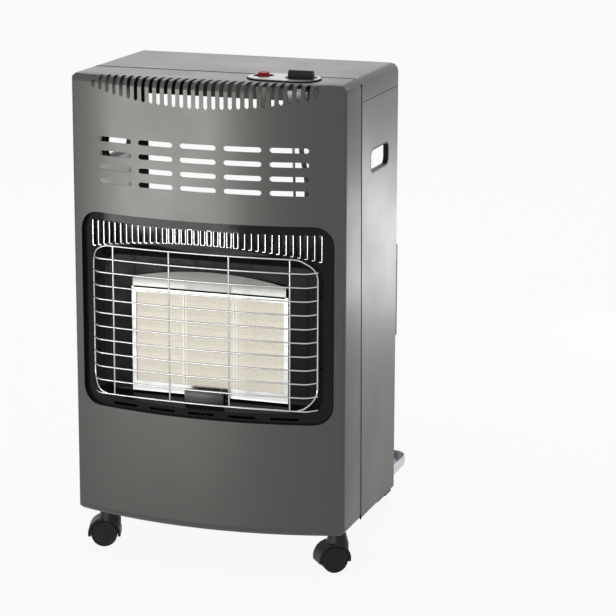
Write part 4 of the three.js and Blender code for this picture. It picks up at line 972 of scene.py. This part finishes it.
class HEATER_OT_fixings(bpy.types.Operator):
    """Model the screws on the rear rail and brackets, and the castor nuts in the tray"""

    bl_idname = "heater.fixings"
    bl_label = "Screws and nuts"

    def execute(self, context):
        rearward = (0, 1, 0)
        moves = [turned_to(at(*place), rearward) for place in RAIL_SCREWS + SIDE_SCREWS]
        screws = copies(screw(0.0036, 0.0022), moves)
        moves = [turned_to(at(*place), rearward) for place in BRACKET_SCREWS]
        screws += copies(screw(0.0028, 0.0018), moves)
        piece = joined("casing_screws", screws)
        smooth(piece)
        finish_piece(piece, "zinc_screw", "cabinet", "bright_steel")
        washer = cylinder("washer", 0.0085, 0.0012, (0, 0, 0.0006), sides=32)
        nut = cylinder("nut", 0.0062, 0.005, (0, 0, 0.0037), sides=6)
        round_edges(nut, 0.0005, 2)
        moves = []
        for castor in CASTORS:
            swivel = joint(f"castor_{castor}_turn")["pos_m"]
            moves.append(Matrix.Translation((swivel[0], swivel[1], at(0, 0, TRAY_FLOOR_Z).z)))
        piece = joined("castor_nuts", copies(joined("nut", [nut, washer]), moves))
        smooth(piece)
        finish_piece(piece, "zinc_screw", "cabinet", "bright_steel")
        return {"FINISHED"}


# Stage

# The camera's place in millimetres, its angles in degrees and its focal length on a 36 mm frame
CAMERA_PLACE = (1260.9, -3268.3, 1238.0)
CAMERA_YAW = 18.713
CAMERA_PITCH = -13.537
CAMERA_ROLL = 0.176
FRAME_WIDTH = 36
CAMERA_FOCAL = 2479 / 616 * FRAME_WIDTH
ROOM_LIGHT = 0.65
FLOOR_GLOW = 0.9

# Each lamp's name, place and target in millimetres, size in metres and power in watts
LAMPS = (
    ("left_softbox", (-1150, -1850, 250), (0, 0, 380), (1.8, 0.48), 27),
    ("right_softbox", (800, 1600, 160), (210, 120, 380), (1.1, 0.3), 3.6),
    ("top_softbox", (-1200, 2700, 1900), (0, 150, 700), (1.8, 1.2), 6),
)


def area_light(name, place, target, size, energy):
    bpy.ops.object.light_add(type="AREA", location=place)
    light = bpy.context.object
    light.name = name
    light.data.shape = "RECTANGLE"
    light.data.size, light.data.size_y = size
    light.data.energy = energy
    light.rotation_euler = (Vector(target) - Vector(place)).to_track_quat("-Z", "Y").to_euler()


def seen_rays(nodes, links):
    """Is 1 on the rays that see the background, direct, in a reflection or through glass."""
    path = nodes.new("ShaderNodeLightPath")
    seen = path.outputs["Is Camera Ray"]
    for ray in ("Is Glossy Ray", "Is Transmission Ray"):
        either = nodes.new("ShaderNodeMath")
        either.operation = "MAXIMUM"
        links.new(seen, either.inputs[0])
        links.new(path.outputs[ray], either.inputs[1])
        seen = either.outputs[0]
    return seen


class HEATER_OT_stage(bpy.types.Operator):
    """Set up the floor, the soft lights, the white surroundings and the camera"""

    bl_idname = "heater.stage"
    bl_label = "Stage"

    def execute(self, context):
        bpy.ops.mesh.primitive_plane_add(size=60)
        floor = new_piece("floor")
        material = bpy.data.materials.new("pale_floor")
        material.use_nodes = True
        nodes, links = material.node_tree.nodes, material.node_tree.links
        nodes["Principled BSDF"].inputs["Base Color"].default_value = (0.8, 0.8, 0.8, 1)
        nodes["Principled BSDF"].inputs["Roughness"].default_value = 0.9
        glow = nodes.new("ShaderNodeEmission")
        mix = nodes.new("ShaderNodeMixShader")
        share = nodes.new("ShaderNodeMath")
        share.operation = "MULTIPLY"
        share.inputs[1].default_value = FLOOR_GLOW
        links.new(seen_rays(nodes, links), share.inputs[0])
        links.new(share.outputs[0], mix.inputs[0])
        links.new(nodes["Principled BSDF"].outputs[0], mix.inputs[1])
        links.new(glow.outputs[0], mix.inputs[2])
        links.new(mix.outputs[0], nodes["Material Output"].inputs[0])
        floor.data.materials.append(material)
        world = bpy.data.worlds.new("white_room")
        context.scene.world = world
        world.use_nodes = True
        nodes, links = world.node_tree.nodes, world.node_tree.links
        level = nodes.new("ShaderNodeMix")
        level.inputs["A"].default_value = ROOM_LIGHT
        level.inputs["B"].default_value = 1.0
        links.new(seen_rays(nodes, links), level.inputs["Factor"])
        links.new(level.outputs["Result"], nodes["Background"].inputs["Strength"])
        nodes["Background"].inputs["Color"].default_value = (1, 1, 1, 1)
        for name, place, target, size, power in LAMPS:
            area_light(name, at(*place), at(*target), size, power)
        yaw, pitch, roll = (math.radians(a) for a in (CAMERA_YAW, CAMERA_PITCH, CAMERA_ROLL))
        bpy.ops.object.camera_add(location=at(*CAMERA_PLACE))
        camera = bpy.context.object
        turn = Matrix.Rotation(math.pi / 2 + pitch, 4, "X") @ Matrix.Rotation(roll, 4, "Z")
        turn = Matrix.Rotation(yaw, 4, "Z") @ turn
        camera.matrix_world = Matrix.Translation(at(*CAMERA_PLACE)) @ turn
        camera.data.lens = CAMERA_FOCAL
        camera.data.sensor_width = FRAME_WIDTH
        context.scene.camera = camera
        context.scene.view_settings.view_transform = "Standard"
        return {"FINISHED"}


class HEATER_PT_panel(bpy.types.Panel):
    """Lists the heater's pieces and settings"""

    bl_idname = "HEATER_PT_panel"
    bl_label = "Cabinet Heater"
    bl_space_type = "VIEW_3D"
    bl_region_type = "UI"
    bl_category = "Heater"

    def draw(self, context):
        for operator in OPERATORS:
            self.layout.operator(operator.bl_idname)
        for name in HeaterSettings.__annotations__:
            self.layout.prop(context.scene.heater_settings, name)


OPERATORS = (
    HEATER_OT_finishes,
    HEATER_OT_guard,
    HEATER_OT_controls,
    HEATER_OT_wheels,
    HEATER_OT_louvre_lips,
    HEATER_OT_seams,
    HEATER_OT_plate_shadow_line,
    HEATER_OT_pilot_shroud,
    HEATER_OT_fixings,
    HEATER_OT_stage,
)


def register():
    for cls in (HeaterSettings, *OPERATORS, HEATER_PT_panel):
        bpy.utils.register_class(cls)
    bpy.types.Scene.heater_settings = bpy.props.PointerProperty(type=HeaterSettings)


def unregister():
    del bpy.types.Scene.heater_settings
    for cls in reversed((HeaterSettings, *OPERATORS, HEATER_PT_panel)):
        bpy.utils.unregister_class(cls)


def main():
    register()
    for operator in OPERATORS:
        getattr(bpy.ops.heater, operator.bl_idname.split(".")[1])()


if __name__ == "__main__":
    main()
